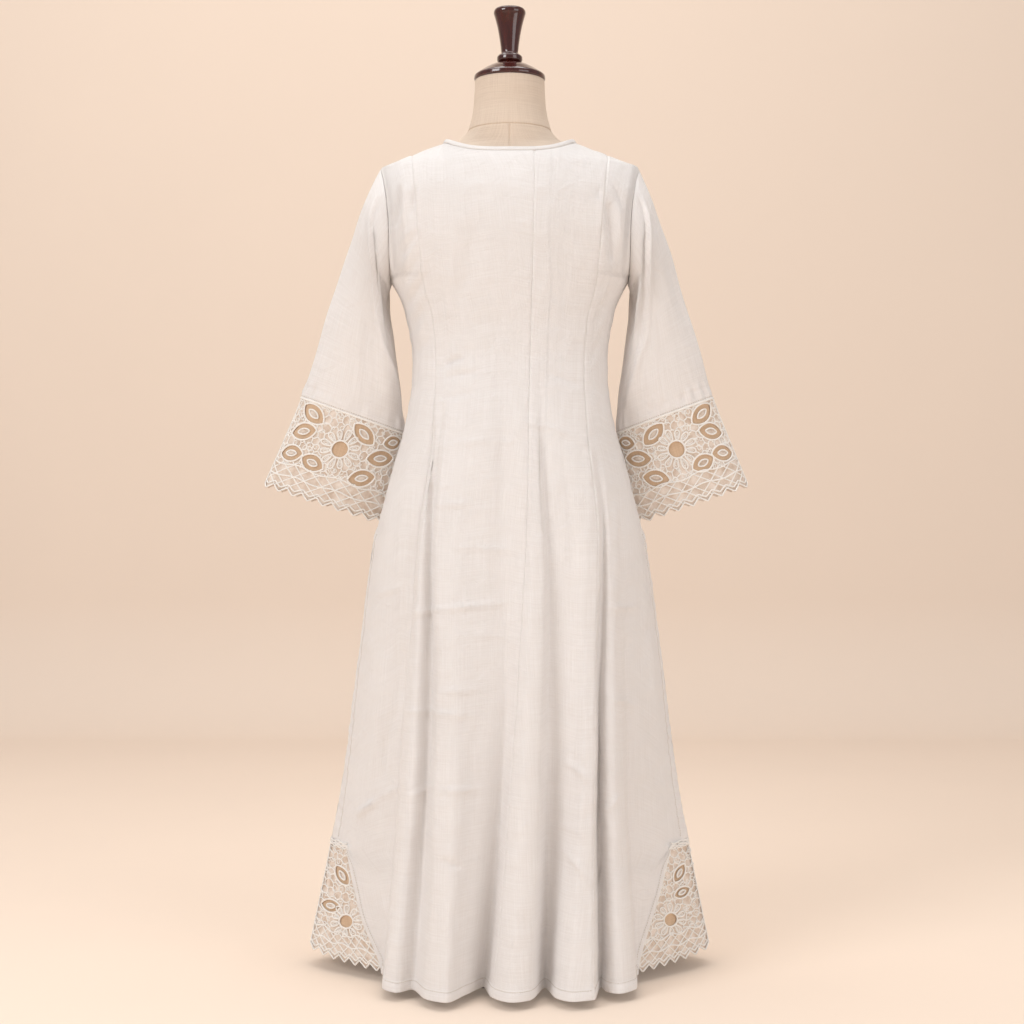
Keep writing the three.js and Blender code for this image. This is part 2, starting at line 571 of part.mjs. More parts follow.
function sleevePoint(sleeve, turn, ring) {
  const angle = 2 * Math.PI * turn;
  const tipX = armholeAt(shoulderTipZ);
  const outerEdge = new THREE.Vector3(lerp(tipX, ringAt.outerX(ring), sleeve.reach), 0, ringAt.outerZ(ring));
  const innerEdge = new THREE.Vector3(ringAt.innerX(ring), 0, ringAt.innerZ(ring));
  const middle = outerEdge.clone().lerp(innerEdge, 0.5);
  const radius = outerEdge.clone().sub(middle);
  const fold = sleeveFolds.reduce((sum, { turn: at, width, depth, from, to }) => {
    const way = clamp((ring - from) / (to - from), 0, 1);
    return sum + depth * Math.sin(Math.PI * way) * Math.exp(-(((turn - at) / width) ** 2));
  }, 0);
  const point = middle.clone().addScaledVector(radius, Math.cos(angle));
  point.y = ringAt.forward(ring) - ringAt.halfThickness(ring) * Math.sin(angle);
  const outward = radius.clone().normalize().multiplyScalar(Math.cos(angle));
  outward.y = -Math.sin(angle);
  point.addScaledVector(outward, fold);
  point.x *= sleeve.sign;
  return point;
}

function sleeveNormal(sleeve, turn, ring) {
  const round = sleevePoint(sleeve, turn + 0.004, ring).sub(sleevePoint(sleeve, turn - 0.004, ring));
  const down = sleevePoint(sleeve, turn, Math.min(ring + 0.04, cuffEndRing)).sub(
    sleevePoint(sleeve, turn, Math.max(ring - 0.04, 0)),
  );
  return round.cross(down).normalize().multiplyScalar(sleeve.sign);
}

// The armhole's edge and the body's outward direction there, at the same turns as the panels' rows.
function armholeRing(sleeve) {
  const rowAt = (half, share) => {
    const u = sleeve.sign < 0 ? 0 : half.last;
    const z = lerp(armpitZ, half.topAt(u), share);
    const isRidge = share === 0 || share === 1;
    return { point: half.pointAt(u, z), normal: normalAt(half, u, share === 1 ? z - 1 : z, isRidge) };
  };
  const shares = [0, ...upperRowShares];
  const points = sleeveTurns.map((turn) => {
    const half = turn <= 0.5 ? back : front;
    const share = clamp((1 + Math.cos(2 * Math.PI * turn)) / 2, 0, 1);
    let i = 0;
    while (i < shares.length - 2 && share > shares[i + 1] + 1e-9) i += 1;
    const way = clamp((share - shares[i]) / (shares[i + 1] - shares[i]), 0, 1);
    const [low, high] = [rowAt(half, shares[i]), rowAt(half, shares[i + 1])];
    return { point: low.point.lerp(high.point, way), normal: low.normal.lerp(high.normal, way).normalize() };
  });
  return { points: points.map((p) => p.point), normals: points.map((p) => p.normal) };
}

function sleeveGeometry(sleeve) {
  const armhole = armholeRing(sleeve);
  const firstRow = sleeveTurns.map((turn) => sleevePoint(sleeve, turn, sleeveRows[0]));
  const start = armhole.points.map((point, i) => {
    const count = armhole.points.length;
    const round = armhole.points[(i + 1) % count].clone().sub(armhole.points[(i + count - 1) % count]);
    const down = firstRow[i].clone().sub(point).normalize();
    const own = round.cross(down).normalize().multiplyScalar(sleeve.sign);
    // Where the sleeve stands off the body, as under the arm, its wall turns its own way.
    const standsOff = clamp(4 * down.dot(armhole.normals[i]), 0, 1);
    return {
      point: point.clone().addScaledVector(armhole.normals[i], seamGap * standsOff),
      normal: armhole.normals[i].clone().lerp(own, standsOff).normalize(),
    };
  });
  const outer = [start.map(({ point }) => point)];
  const normals = [start.map(({ normal }) => normal)];
  for (const ring of sleeveRows) {
    outer.push(sleeveTurns.map((turn) => sleevePoint(sleeve, turn, ring)));
    normals.push(sleeveTurns.map((turn) => sleeveNormal(sleeve, turn, ring)));
  }
  const seam = cuffRow(sleeve, cuffTurns, 0);
  outer[outer.length - 1] = sleeveTurns.map((turn) => alongRing(cuffTurns, seam.points, turn));
  normals[normals.length - 1] = sleeveTurns.map((turn) => alongRing(cuffTurns, seam.normals, turn).normalize());
  return clothWall(outer, normals, clothThickness, { isTube: true });
}

// ---- Lace ----
// Points between two columns of a ring of points, so that what is sewn to the ring follows its straight sides.
function alongRing(turns, points, turn) {
  let i = turns.length - 1;
  while (i > 0 && turns[i] > turn + 1e-9) i -= 1;
  const nextTurn = i + 1 < turns.length ? turns[i + 1] : 1;
  const way = clamp((turn - turns[i]) / (nextTurn - turns[i]), 0, 1);
  return points[i].clone().lerp(points[(i + 1) % turns.length], way);
}

// A row of the cuff, down being a share of its height.
const cuffRing = (down) => lerp(cuffSeamRing, cuffEndRing, down);
function cuffRow(sleeve, turns, down) {
  return {
    points: turns.map((turn) => sleevePoint(sleeve, turn, cuffRing(down))),
    normals: turns.map((turn) => sleeveNormal(sleeve, turn, cuffRing(down))),
  };
}

// A row between two others, a share of the way down from the first.
const rowBetween = (upper, lower, share) => ({
  points: upper.points.map((p, i) => p.clone().lerp(lower.points[i], share)),
  normals: upper.normals.map((n, i) => n.clone().lerp(lower.normals[i], share).normalize()),
});
const gridOf = (rows) => ({ outer: rows.map((row) => row.points), normals: rows.map((row) => row.normals) });

// The cuff's rows: its seam, the lining's lower edge and the lace's teeth.
function cuffGrid(sleeve, turns) {
  const [top, end] = [cuffRow(sleeve, turns, 0), cuffRow(sleeve, turns, 1)];
  return gridOf([top, rowBetween(top, end, 1 - toothDepth / cuffHeight), end]);
}

// A face of lace answers where a place on it is, in shares across and down, and which way it looks there.
function cuffFace(sleeve, side) {
  const turnOf = (across) => (side === "back" ? across / 2 : 1 - across / 2);
  const place = (across, down) => sleevePoint(sleeve, turnOf(across), cuffRing(down));
  return {
    place: (across, down) => pastEdge((share) => place(evenShare(place, across, 0.5), share), down),
    normal: (across, down) => sleeveNormal(sleeve, turnOf(evenShare(place, across, 0.5)), cuffRing(down)),
  };
}

// Carries a line of the face straight on past its lower edge.
function pastEdge(place, down) {
  if (down <= 1) return place(down);
  const inside = 0.9;
  return place(inside).lerp(place(1), (down - inside) / (1 - inside));
}

function lineLength(place) {
  const steps = 48;
  let length = 0;
  for (let i = 1; i <= steps; i += 1) length += place(i / steps).distanceTo(place((i - 1) / steps));
  return length;
}

// Turns a share of the length along a line across the face into a share of its parameter.
function evenShare(place, share, down) {
  const steps = 48;
  const lengths = [0];
  for (let i = 1; i <= steps; i += 1) {
    lengths.push(lengths[i - 1] + place(i / steps, down).distanceTo(place((i - 1) / steps, down)));
  }
  const wanted = share * lengths[steps];
  let i = 0;
  while (i < steps - 1 && lengths[i + 1] < wanted) i += 1;
  return (i + (wanted - lengths[i]) / (lengths[i + 1] - lengths[i])) / steps;
}

// The corner's grid on a half of the body, from the slit's edge to the slanted edge of the cloth.
function cornerFace(half, isLeft) {
  const heightAt = (down) => lerp(laceCornerTopZ, hemZ, down);
  const at = (across, down) => {
    const reach = slantEdge(half, heightAt(down), isLeft);
    const u = isLeft ? reach * across : half.last - reach * across;
    const share = clamp((heightAt(down) - hemZ) / (laceCornerTopZ - hemZ), 0, 1);
    return { u, z: lerp(half.hemAt(u), laceCornerTopZ, share) };
  };
  const place = (across, down) => {
    const { u, z } = at(across, down);
    return half.pointAt(u, z);
  };
  return {
    place: (across, down) => pastEdge((share) => place(across, share), down),
    normal: (across, down) => {
      const { u, z } = at(across, down);
      return normalAt(half, u, z, across === 0);
    },
  };
}

// The corner's rows: its upper edge, its middle, the lining's lower edge and the lace's teeth.
function cornerGrid(face) {
  const columns = [0, 0.25, 0.5, 0.75, 1];
  const row = (down) => ({
    points: columns.map((across) => face.place(across, down)),
    normals: columns.map((across) => face.normal(across, down)),
  });
  const height = laceCornerTopZ - hemZ;
  const [top, middle, end] = [row(seamGap / height), row(cornerBend), row(1)];
  const liningShare = 1 - toothDepth / (height * (1 - cornerBend));
  return gridOf([top, middle, rowBetween(middle, end, liningShare), end]);
}

// The outlines of a motif's gaps in millimetres round its middle.
function motifOutlines({ kind, length, width, halfPitch }) {
  if (kind === "diamond") {
    return [[[-length / 2, 0], [0, -width / 2], [length / 2, 0], [0, width / 2]]];
  }
  if (kind === "notch") {
    const below = 3;
    const spread = (halfPitch * (toothDepth + below)) / toothDepth;
    return [[[-spread, below], [0, -toothDepth], [spread, below]]];
  }
  if (kind === "flower") {
    const sides = 8;
    return [Array.from({ length: sides }, (_, i) => polar(length / 2, (360 * i) / sides))];
  }
  const [shoulder, tip] = [length / 5, length / 2];
  return [[[-tip, 0], [-shoulder, -width / 2], [shoulder, -width / 2], [tip, 0], [shoulder, width / 2], [-shoulder, width / 2]]];
}
function polar(radius, degrees) {
  const angle = THREE.MathUtils.degToRad(degrees);
  return [radius * Math.cos(angle), radius * Math.sin(angle)];
}

// A prism through the lace, its outline carried onto the face.
function holeSolid(face, motif, outline) {
  const { across, down, turn } = motif;
  const normal = face.normal(across, down);
  const step = 0.02;
  const acrossLength = face.place(across + step, down).distanceTo(face.place(across - step, down)) / (2 * step);
  const downLength = face.place(across, down + step).distanceTo(face.place(across, down - step)) / (2 * step);
  const [cos, sin] = polar(1, turn);
  const placed = outline.map(([x, y]) =>
    face.place(across + (x * cos - y * sin) / acrossLength, down + (x * sin + y * cos) / downLength),
  );
  const reach = 4;
  const near = placed.map((p) => p.clone().addScaledVector(normal, reach));
  const far = placed.map((p) => p.clone().addScaledVector(normal, -reach));
  const flat = outline.map(([x, y]) => new THREE.Vector2(x, y));
  const caps = THREE.ShapeUtils.triangulateShape(flat, []);
  const count = outline.length;
  const faces = caps.flatMap(([a, b, c]) => [a, b, c, a + count, c + count, b + count]);
  const turnsLeft = THREE.ShapeUtils.area(flat) > 0;
  for (let i = 0; i < count; i += 1) {
    const next = (i + 1) % count;
    const side = [i, i + count, next + count, i, next + count, next];
    faces.push(...(turnsLeft ? side : side.reverse()));
  }
  return solidOf(outwardGeometry([...near, ...far], faces));
}

function laceGeometry(grid, face, motifs, diamondRows, teeth) {
  const wall = clothWall(grid.outer, grid.normals, laceThickness);
  const diamonds = diamondRows.flatMap(({ down, count, length, width }) =>
    Array.from({ length: count }, (_, i) => ({
      kind: "diamond",
      across: (i + 0.5) / count,
      down,
      turn: 0,
      length,
      width,
    })),
  );
  const bottomWidth = lineLength((share) => face.place(share, 1));
  const notches = Array.from({ length: teeth - 1 }, (_, i) => ({
    kind: "notch",
    across: (i + 1) / teeth,
    halfPitch: bottomWidth / teeth / 2,
  }));
  const holes = [...motifs, ...diamonds, ...notches].flatMap((motif) =>
    motifOutlines(motif).map((outline) => holeSolid(face, { turn: 0, down: 1, ...motif }, outline)),
  );
  return geometryOf(solidOf(wall).subtract(wasm.Manifold.union(holes)));
}

// The lining lies behind the lace and ends above its teeth.
function liningGeometry({ outer, normals }, isTube) {
  const options = { inset: laceThickness + seamGap, isTube };
  return clothWall(outer.slice(0, -1), normals.slice(0, -1), liningThickness, options);
}

// ---- Neck binding ----
// The binding's columns are those of the panels under it, so its sides lie level with theirs.
function neckPlaces(half) {
  const corners = neckCorners(half);
  const columns = half.seams.slice(0, -1).flatMap((seam, i) => columnsBetween(half, seam, half.seams[i + 1]));
  return [...new Set(columns)].filter((u) => u >= corners[0] && u <= corners.at(-1)).sort((a, b) => a - b);
}

// A place on the panels' neckline, moved a distance over the neck, square to the seam.
function bindingPlace(half, u, distance) {
  const edge = half.pointAt(u, half.topAt(u));
  const corners = neckCorners(half);
  const isCorner = u === corners[0] || u === corners.at(-1);
  const normal = normalAt(half, u, half.topAt(u) - 1, isCorner);
  if (isCorner) {
    const alongShoulder = new THREE.Vector3(-Math.sign(edge.x) * normal.z, 0, Math.abs(normal.x));
    return { point: edge.addScaledVector(alongShoulder, distance), normal };
  }
  const step = 0.02;
  const beside = (at) => half.pointAt(at, half.topAt(at));
  const alongNeck = beside(u + step).sub(beside(u - step)).normalize();
  const inwards = alongNeck.cross(normal).normalize();
  if (inwards.z < 0) inwards.negate();
  return { point: edge.addScaledVector(inwards, distance), normal };
}

function bindingGeometry() {
  const loop = [
    ...neckPlaces(back).map((u) => ({ half: back, u })),
    ...neckPlaces(front).reverse().slice(1, -1).map((u) => ({ half: front, u })),
  ];
  const rows = [seamGap, bindingWidth].map((distance) => loop.map(({ half, u }) => bindingPlace(half, u, distance)));
  return clothWall(
    rows.map((row) => row.map(({ point }) => point)),
    rows.map((row) => row.map(({ normal }) => normal)),
    bindingThickness,
    { isTube: true },
  );
}

// ---- Dress form ----
const torsoAt = Object.fromEntries(
  ["halfWidth", "back", "front", "power", "fall"].map((key) => [key, column(torsoSections, key)]),
);
function torsoGeometry() {
  const heights = torsoSections.map((section) => section.z);
  const columnsRound = 20;
  const rings = heights.map((z) =>
    Array.from({ length: columnsRound }, (_, i) => {
      const angle = (2 * Math.PI * i) / columnsRound;
      const share = Math.cos(angle);
      const depth = (angle < Math.PI ? torsoAt.front(z) : -torsoAt.back(z)) *
        Math.max(1 - Math.abs(share) ** torsoAt.power(z), 0) ** torsoAt.fall(z);
      return new THREE.Vector3(torsoAt.halfWidth(z) * share, depth, z);
    }),
  );
  const vertices = [...rings.flat(), new THREE.Vector3(0, 0, heights[0]), new THREE.Vector3(0, 0, heights.at(-1))];
  const faces = [];
  const bottom = rings.length * columnsRound;
  for (let i = 0; i < columnsRound; i += 1) {
    const next = (i + 1) % columnsRound;
    for (let row = 0; row < rings.length - 1; row += 1) {
      const [low, high] = [row * columnsRound, (row + 1) * columnsRound];
      faces.push(low + i, low + next, high + next, low + i, high + next, high + i);
    }
    const top = (rings.length - 1) * columnsRound;
    faces.push(bottom, next, i, bottom + 1, top + i, top + next);
  }
  return outwardGeometry(vertices, faces);
}

function turnedGeometry(profile, baseZ) {
  const outline = profile.map(({ r, h }) => new THREE.Vector2(r, h));
  const sides = 16;
  return new THREE.LatheGeometry(outline, sides).rotateX(Math.PI / 2).translate(0, 0, baseZ);
}

const plateProfile = [
  { r: 0, h: 0 },
  { r: plateRadius, h: 0 },
  { r: plateRadius, h: plateThickness - 3 },
  { r: plateRadius - 4, h: plateThickness },
  { r: 0, h: plateThickness },
];
const poleProfile = [
  { r: 0, h: plateThickness + seamGap },
  { r: poleRadius, h: plateThickness + seamGap },
  { r: poleRadius, h: torsoBottomZ - seamGap },
  { r: 0, h: torsoBottomZ - seamGap },
];

// ---- Scene graph ----
const materials = {
  cotton: new THREE.MeshStandardMaterial({ color: 0xf3ece4, roughness: 0.9, metalness: 0 }),
  lace: new THREE.MeshStandardMaterial({ color: 0xf7f2ec, roughness: 0.8, metalness: 0 }),
  net: new THREE.MeshStandardMaterial({ color: 0xc9a684, roughness: 0.9, metalness: 0 }),
  linen: new THREE.MeshStandardMaterial({ color: 0xe3ccb8, roughness: 0.95, metalness: 0 }),
  wood: new THREE.MeshStandardMaterial({ color: 0x4a1008, roughness: 0.25, metalness: 0 }),
  steel: new THREE.MeshStandardMaterial({ color: 0x35322f, roughness: 0.4, metalness: 0.9 }),
};
const kameez = new THREE.Group();
const addPiece = (name, geometry, material) => {
  const mesh = new THREE.Mesh(geometry, material);
  mesh.name = name;
  kameez.add(mesh);
  return mesh;
};

const backPieces = ["back_side_left", "back_centre_left", "back_centre_right", "back_side_right"];
const frontPieces = ["front_side_left", "front_centre", "front_side_right"];
for (const [half, names] of [[back, backPieces], [front, frontPieces]]) {
  names.forEach((name, i) =>
    addPiece(name, panelGeometry(half, half.seams[i], half.seams[i + 1]), materials.cotton),
  );
}

for (const sleeve of sleeves) {
  addPiece(`sleeve_${sleeve.name}`, sleeveGeometry(sleeve), materials.cotton);
  addPiece(`cuff_lining_${sleeve.name}`, liningGeometry(cuffGrid(sleeve, cuffTurns), true), materials.net);
  for (const side of ["back", "front"]) {
    const grid = cuffGrid(sleeve, side === "back" ? cuffHalf : mirrored(cuffHalf));
    const face = cuffFace(sleeve, side);
    const lace = laceGeometry(grid, face, cuffMotifs, cuffDiamondRows, teethPerCuffFace);
    addPiece(`cuff_lace_${sleeve.name}_${side}`, lace, materials.lace);
  }
}
for (const half of [back, front]) {
  for (const isLeft of [true, false]) {
    const side = isLeft ? "left" : "right";
    const name = `${half.side}_${side}`;
    const face = cornerFace(half, isLeft);
    const lace = laceGeometry(cornerGrid(face), face, cornerMotifs[side], cornerDiamondRows, teethPerCorner);
    addPiece(`corner_lining_${name}`, liningGeometry(cornerGrid(face), false), materials.net);
    addPiece(`corner_lace_${name}`, lace, materials.lace);
  }
}
addPiece("neck_binding", bindingGeometry(), materials.cotton);
addPiece("form_torso", torsoGeometry(), materials.linen);
addPiece("neck_cap", turnedGeometry(capProfile, neckTopZ), materials.wood);
addPiece("finial", turnedGeometry(finialProfile, neckTopZ), materials.wood);
addPiece("stand_pole", turnedGeometry(poleProfile, 0), materials.steel);
addPiece("stand_base", turnedGeometry(plateProfile, 0), materials.steel);

export default kameez;
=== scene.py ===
import json
import bpy
import numpy as np
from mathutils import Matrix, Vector
from mathutils.geometry import delaunay_2d_cdt

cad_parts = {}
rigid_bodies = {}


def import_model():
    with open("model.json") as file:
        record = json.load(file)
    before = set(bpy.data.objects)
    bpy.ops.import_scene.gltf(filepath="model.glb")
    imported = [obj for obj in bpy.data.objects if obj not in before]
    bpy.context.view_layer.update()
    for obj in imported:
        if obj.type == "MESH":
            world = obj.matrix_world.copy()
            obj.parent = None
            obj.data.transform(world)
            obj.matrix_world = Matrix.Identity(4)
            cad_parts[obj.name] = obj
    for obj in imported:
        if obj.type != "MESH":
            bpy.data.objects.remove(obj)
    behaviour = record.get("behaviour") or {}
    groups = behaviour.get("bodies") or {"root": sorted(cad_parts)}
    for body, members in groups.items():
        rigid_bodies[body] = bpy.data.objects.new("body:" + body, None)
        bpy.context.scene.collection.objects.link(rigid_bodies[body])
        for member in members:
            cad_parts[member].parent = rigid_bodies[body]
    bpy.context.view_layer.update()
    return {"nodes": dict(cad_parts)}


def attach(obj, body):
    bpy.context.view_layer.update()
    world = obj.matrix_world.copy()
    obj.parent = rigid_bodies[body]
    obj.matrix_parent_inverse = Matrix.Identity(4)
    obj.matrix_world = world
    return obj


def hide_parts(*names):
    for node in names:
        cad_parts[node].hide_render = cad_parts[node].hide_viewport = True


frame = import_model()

# A long kameez with lace cuffs and lace corners, worn by a limbless dress form.
# Shapes are worked out in millimetres and go into the meshes in metres. The garment's back faces -Y.
millimetre = 0.001


def table(names, rows):
    """Named columns of numbers: the names part at the spaces, and the rows are turned on their side."""
    return dict(zip(names.split(), np.array(rows, dtype=float).T))


# Sizes of the cut, in millimetres. Names that end in Z are heights above the floor.
cut = {
    "hemZ": 12, "hemLift": 13, "kneeZ": 422, "hipZ": 723, "slitTopZ": 650, "armpitZ": 1020,
    "shoulderTipZ": 1190, "neckPointZ": 1226.5, "neckHalfWidth": 100.5, "backNeckDrop": 25,
    "frontNeckDrop": 88, "foldGrowth": 1.2, "cornerTopZ": 186,
    "cornerTopWidth": 52, "seamGap": 0.3, "clothThickness": 1.0,
    "hemBand": 13.2, "slitBand": 27.6, "cornerBand": 7.2, "bandThickness": 1.5,
}
bodySections = table("z halfWidth back front power fall", [
    (12, 302, 180, 174, 2, 0.85), (186, 266, 166, 160, 2, 0.74), (283, 249, 158, 151, 2.05, 0.66),
    (484, 222, 144, 137, 2.15, 0.53), (634, 202, 134, 129, 2.25, 0.46), (723, 180, 127, 122, 2.3, 0.44),
    (792, 160, 118, 114, 2.3, 0.44), (832, 152, 110, 108, 2.3, 0.44), (874, 146.5, 101, 103, 2.3, 0.44),
    (912, 146, 96, 101, 2.3, 0.44), (944, 150, 96, 106, 2.3, 0.44), (980, 158, 100, 117, 2.3, 0.44),
    (1020, 177, 106, 127, 2.3, 0.44), (1045, 191, 109, 130, 2.3, 0.44), (1090, 201, 113, 125, 2.3, 0.44),
    (1140, 204, 109, 109, 2.3, 0.46), (1166, 201, 101, 97, 2.3, 0.52), (1190, 193, 90, 82, 2.3, 0.64),
    (1200, 170, 82, 75, 2.3, 0.67), (1210, 145, 74, 69, 2.3, 0.68), (1220, 119, 66, 62, 2.3, 0.68),
    (1229, 94, 57, 55, 2.3, 0.68),
])
seamLines = table("z princess centre armhole", [
    (723, 120, 26, 180), (776, 114, 27, 164), (832, 111, 28, 152), (880, 109, 29, 146),
    (951, 113, 31, 151), (1000, 125, 32, 167), (1020, 128, 33, 177), (1081, 133, 34, 177),
    (1127, 137, 35, 180), (1166, 141, 36, 187), (1190, 144, 36, 193), (1229, 148, 36, 193),
])

# Lines down the skirt: shares of the half width at hip, knee and hem, how far each stands out at the hem,
# where it begins to, and the seam that it is, from 0 at the left side to 4 at the right, or -1.
backLines = table("hip knee hem rise start seam", [
    (0, -1, -1, 7, 650, 0), (-0.93, -0.85, -0.9, 3, 600, -1), (-0.84, -0.73, -0.77, -9, 600, -1),
    (-0.775, -0.665, -0.606, -12, 520, -1), (0, -0.638, -0.578, 68, 600, 1),
    (-0.64, -0.58, -0.523, 74, 850, -1), (-0.59, -0.486, -0.444, 44, 560, -1),
    (-0.54, -0.431, -0.368, 84, 860, -1), (-0.438, -0.34, -0.29, 90, 850, -1),
    (-0.2, -0.17, -0.199, 42, 850, -1), (-0.03, -0.03, -0.119, 0, 700, -1),
    (0, 0.047, -0.0755, 52, 780, 2), (0.18, 0.12, 0.01, 76, 850, -1), (0.245, 0.195, 0.091, 66, 870, -1),
    (0.29, 0.25, 0.162, 5, 640, -1), (0.416, 0.4, 0.215, 62, 700, -1), (0.54, 0.47, 0.291, 86, 800, -1),
    (0, 0.525, 0.3735, 87, 800, 3), (0.715, 0.556, 0.42, 26, 600, -1), (0.76, 0.59, 0.453, 58, 760, -1),
    (0.82, 0.64, 0.512, 76, 740, -1), (0.87, 0.69, 0.579, 67, 620, -1), (0.91, 0.735, 0.606, -6, 520, -1),
    (0.95, 0.85, 0.78, -7, 600, -1), (0, 1, 1, 7, 650, 4),
])
frontLines = table("hip knee hem rise start seam", [
    (0, -1, -1, 7, 650, 0), (-0.92, -0.84, -0.8, -6, 600, -1), (-0.79, -0.7, -0.615, -6, 520, -1),
    (0, -0.65, -0.585, 58, 620, 1), (-0.57, -0.57, -0.5, 68, 820, -1), (-0.43, -0.45, -0.39, 14, 640, -1),
    (-0.28, -0.3, -0.26, 74, 800, -1), (-0.12, -0.13, -0.11, 2, 620, -1), (0.04, 0.03, 0.02, 70, 780, -1),
    (0.19, 0.18, 0.15, 6, 600, -1), (0.32, 0.32, 0.29, 78, 820, -1), (0.43, 0.45, 0.42, 18, 640, -1),
    (0.55, 0.56, 0.53, 66, 800, -1), (0, 0.64, 0.59, 50, 620, 3), (0.79, 0.71, 0.62, -8, 520, -1),
    (0.92, 0.85, 0.79, -7, 600, -1), (0, 1, 1, 7, 650, 4),
])
footLines = {"back": (3, 22), "front": (2, 14)}  # the lines where the lace corners' slanted edges end

# Creases in the cloth: from one place to another as (x, z), how far the line bows, its half width and its
# height, which is negative for a trough.
backCreases = table("x0 z0 x1 z1 bow width height", [
    # pressed creases across the skirt
    (-111, 684, -56, 687, 1, 2.2, 0.7), (-90, 625, 15, 619, 2, 2.2, 0.7), (-155, 529, 9, 546, 3, 2.4, 1.0),
    (134, 542, 191, 537, -1, 2.2, 0.8), (-102, 424, -39, 426, 1, 2.2, 0.7),
    (-156, 393, -42, 390, 2, 2.4, 0.8),
    (-101, 291, -36, 288, 0, 2.2, 0.9), (-147, 273, -101, 293, 1, 2.2, 0.8), (73, 327, 112, 300, 3, 2.4, 1.2),
    (70, 208, 114, 162, 3, 2.2, 0.9), (-101, 197, -66, 186, 1, 2.4, -0.9), (132, 254, 156, 278, 0, 2.2, 1.0),
    (67, 238, 100, 232, 0, 2.2, 0.6), (-77, 504, 14, 496, 1, 2.2, 0.5), (-200, 551, -152, 568, 2, 2.4, 0.6),
    (143, 413, 182, 390, 2, 2.6, 0.7),
    # waist
    (-96, 889, -67, 899, 1, 3.2, -1.5), (-100, 869, -43, 877, 1, 3, -0.9), (-99, 839, -46, 847, 1, 3, -0.8),
    (51, 877, 101, 860, 1, 3, -0.8), (15, 808, 108, 779, 3, 3, 0.6), (-103, 770, 15, 779, 2, 3, 0.6),
    # upper back
    (-47, 1106, -76, 974, 2, 12, -3.0), (-83, 1049, -99, 911, 1, 9, 2.0), (-14, 981, -20, 895, 0, 14, -1.2),
    (82, 1106, 72, 981, 2, 14, -1.2), (-37, 1143, -41, 1080, 0, 5, -0.7),
    (-113, 1158, -101, 1076, 1, 8, -1.0),
    # below and beside the armholes
    (-160, 1064, -131, 1095, 1, 4, 1.6), (-158, 1051, -130, 1082, 1, 3.5, -1.9),
    (-158, 1034, -128, 1068, 1, 4, 1.5), (-154, 1015, -127, 1052, 1, 3.5, -2.0),
    (-151, 995, -125, 1034, 1, 4, 1.6), (-149, 981, -122, 1017, 1, 3.5, -1.8),
    (-148, 964, -119, 1001, 1, 4, 1.5), (-145, 947, -118, 983, 1, 3.5, -1.6),
    (-142, 927, -115, 964, 1, 4, 1.2), (-138, 907, -112, 938, 1, 4, -1.2),
    (-161, 1152, -166, 1089, 1, 5, -5.0), (-152, 1152, -157, 1080, 1, 4, 2.5),
    (-139, 1150, -143, 1104, 1, 4, -3.5), (-171, 1143, -171, 1068, 0, 4, 1.5),
    (-130, 1143, -134, 1107, 0, 4, 1.2), (149, 1156, 163, 1119, 2, 4, -3.0),
    (144, 1126, 149, 1036, 1, 5.5, -6.0), (157, 1140, 161, 1060, 1, 4, 2.4),
    (135, 1143, 132, 1080, 0, 4, 1.4), (127, 1146, 131, 1131, 0, 3, -1.5),
    (149, 1027, 132, 981, 1, 4, 1.2), (146, 1004, 127, 952, 1, 3.6, -1.4), (143, 975, 125, 927, 1, 4, 1.1),
    (139, 950, 119, 901, 1, 3.6, -1.2), (135, 915, 116, 877, 1, 4, 0.9),
    # where the skirt's folds begin
    (-13, 888, -8, 629, 2, 9, -3.0), (42, 872, 53, 629, 2, 8, -4.0), (-113, 810, -113, 664, 1, 6, -3.0),
    (16, 837, 19, 629, 1, 9, 2.5), (-100, 793, -100, 608, 1, 7, 1.6), (72, 793, 79, 551, 2, 10, 1.8),
    (115, 736, 110, 551, 1, 5, 1.2), (137, 736, 144, 523, 1, 5, 1.6), (-57, 808, -50, 496, 2, 12, -1.4),
    # the skirt's sides
    (-151, 482, -191, 278, 3, 8, -3.0), (-139, 664, -149, 496, 1, 6, -1.6), (-223, 230, -191, 259, 1, 3, 2.4),
    (-191, 259, -155, 281, 1, 3, 1.2), (-182, 468, -205, 276, 2, 9, 1.4), (-159, 413, -174, 221, 2, 7, 1.2),
    (184, 608, 202, 413, 2, 9, -1.6), (196, 413, 220, 276, 2, 8, -1.8), (166, 426, 181, 276, 1, 8, 1.0),
    (204, 496, 213, 385, 1, 6, 1.2),
    # low on the folds
    (-84, 413, -88, 249, 1, 6, 0.8), (-55, 371, -66, 168, 2, 8, -1.0), (-132, 385, -135, 235, 1, 4, 0.8),
    (92, 289, 86, 141, 1, 6, 0.9), (7, 195, 3, 62, 1, 7, -0.7), (154, 358, 155, 141, 1, 6, -0.8),
])
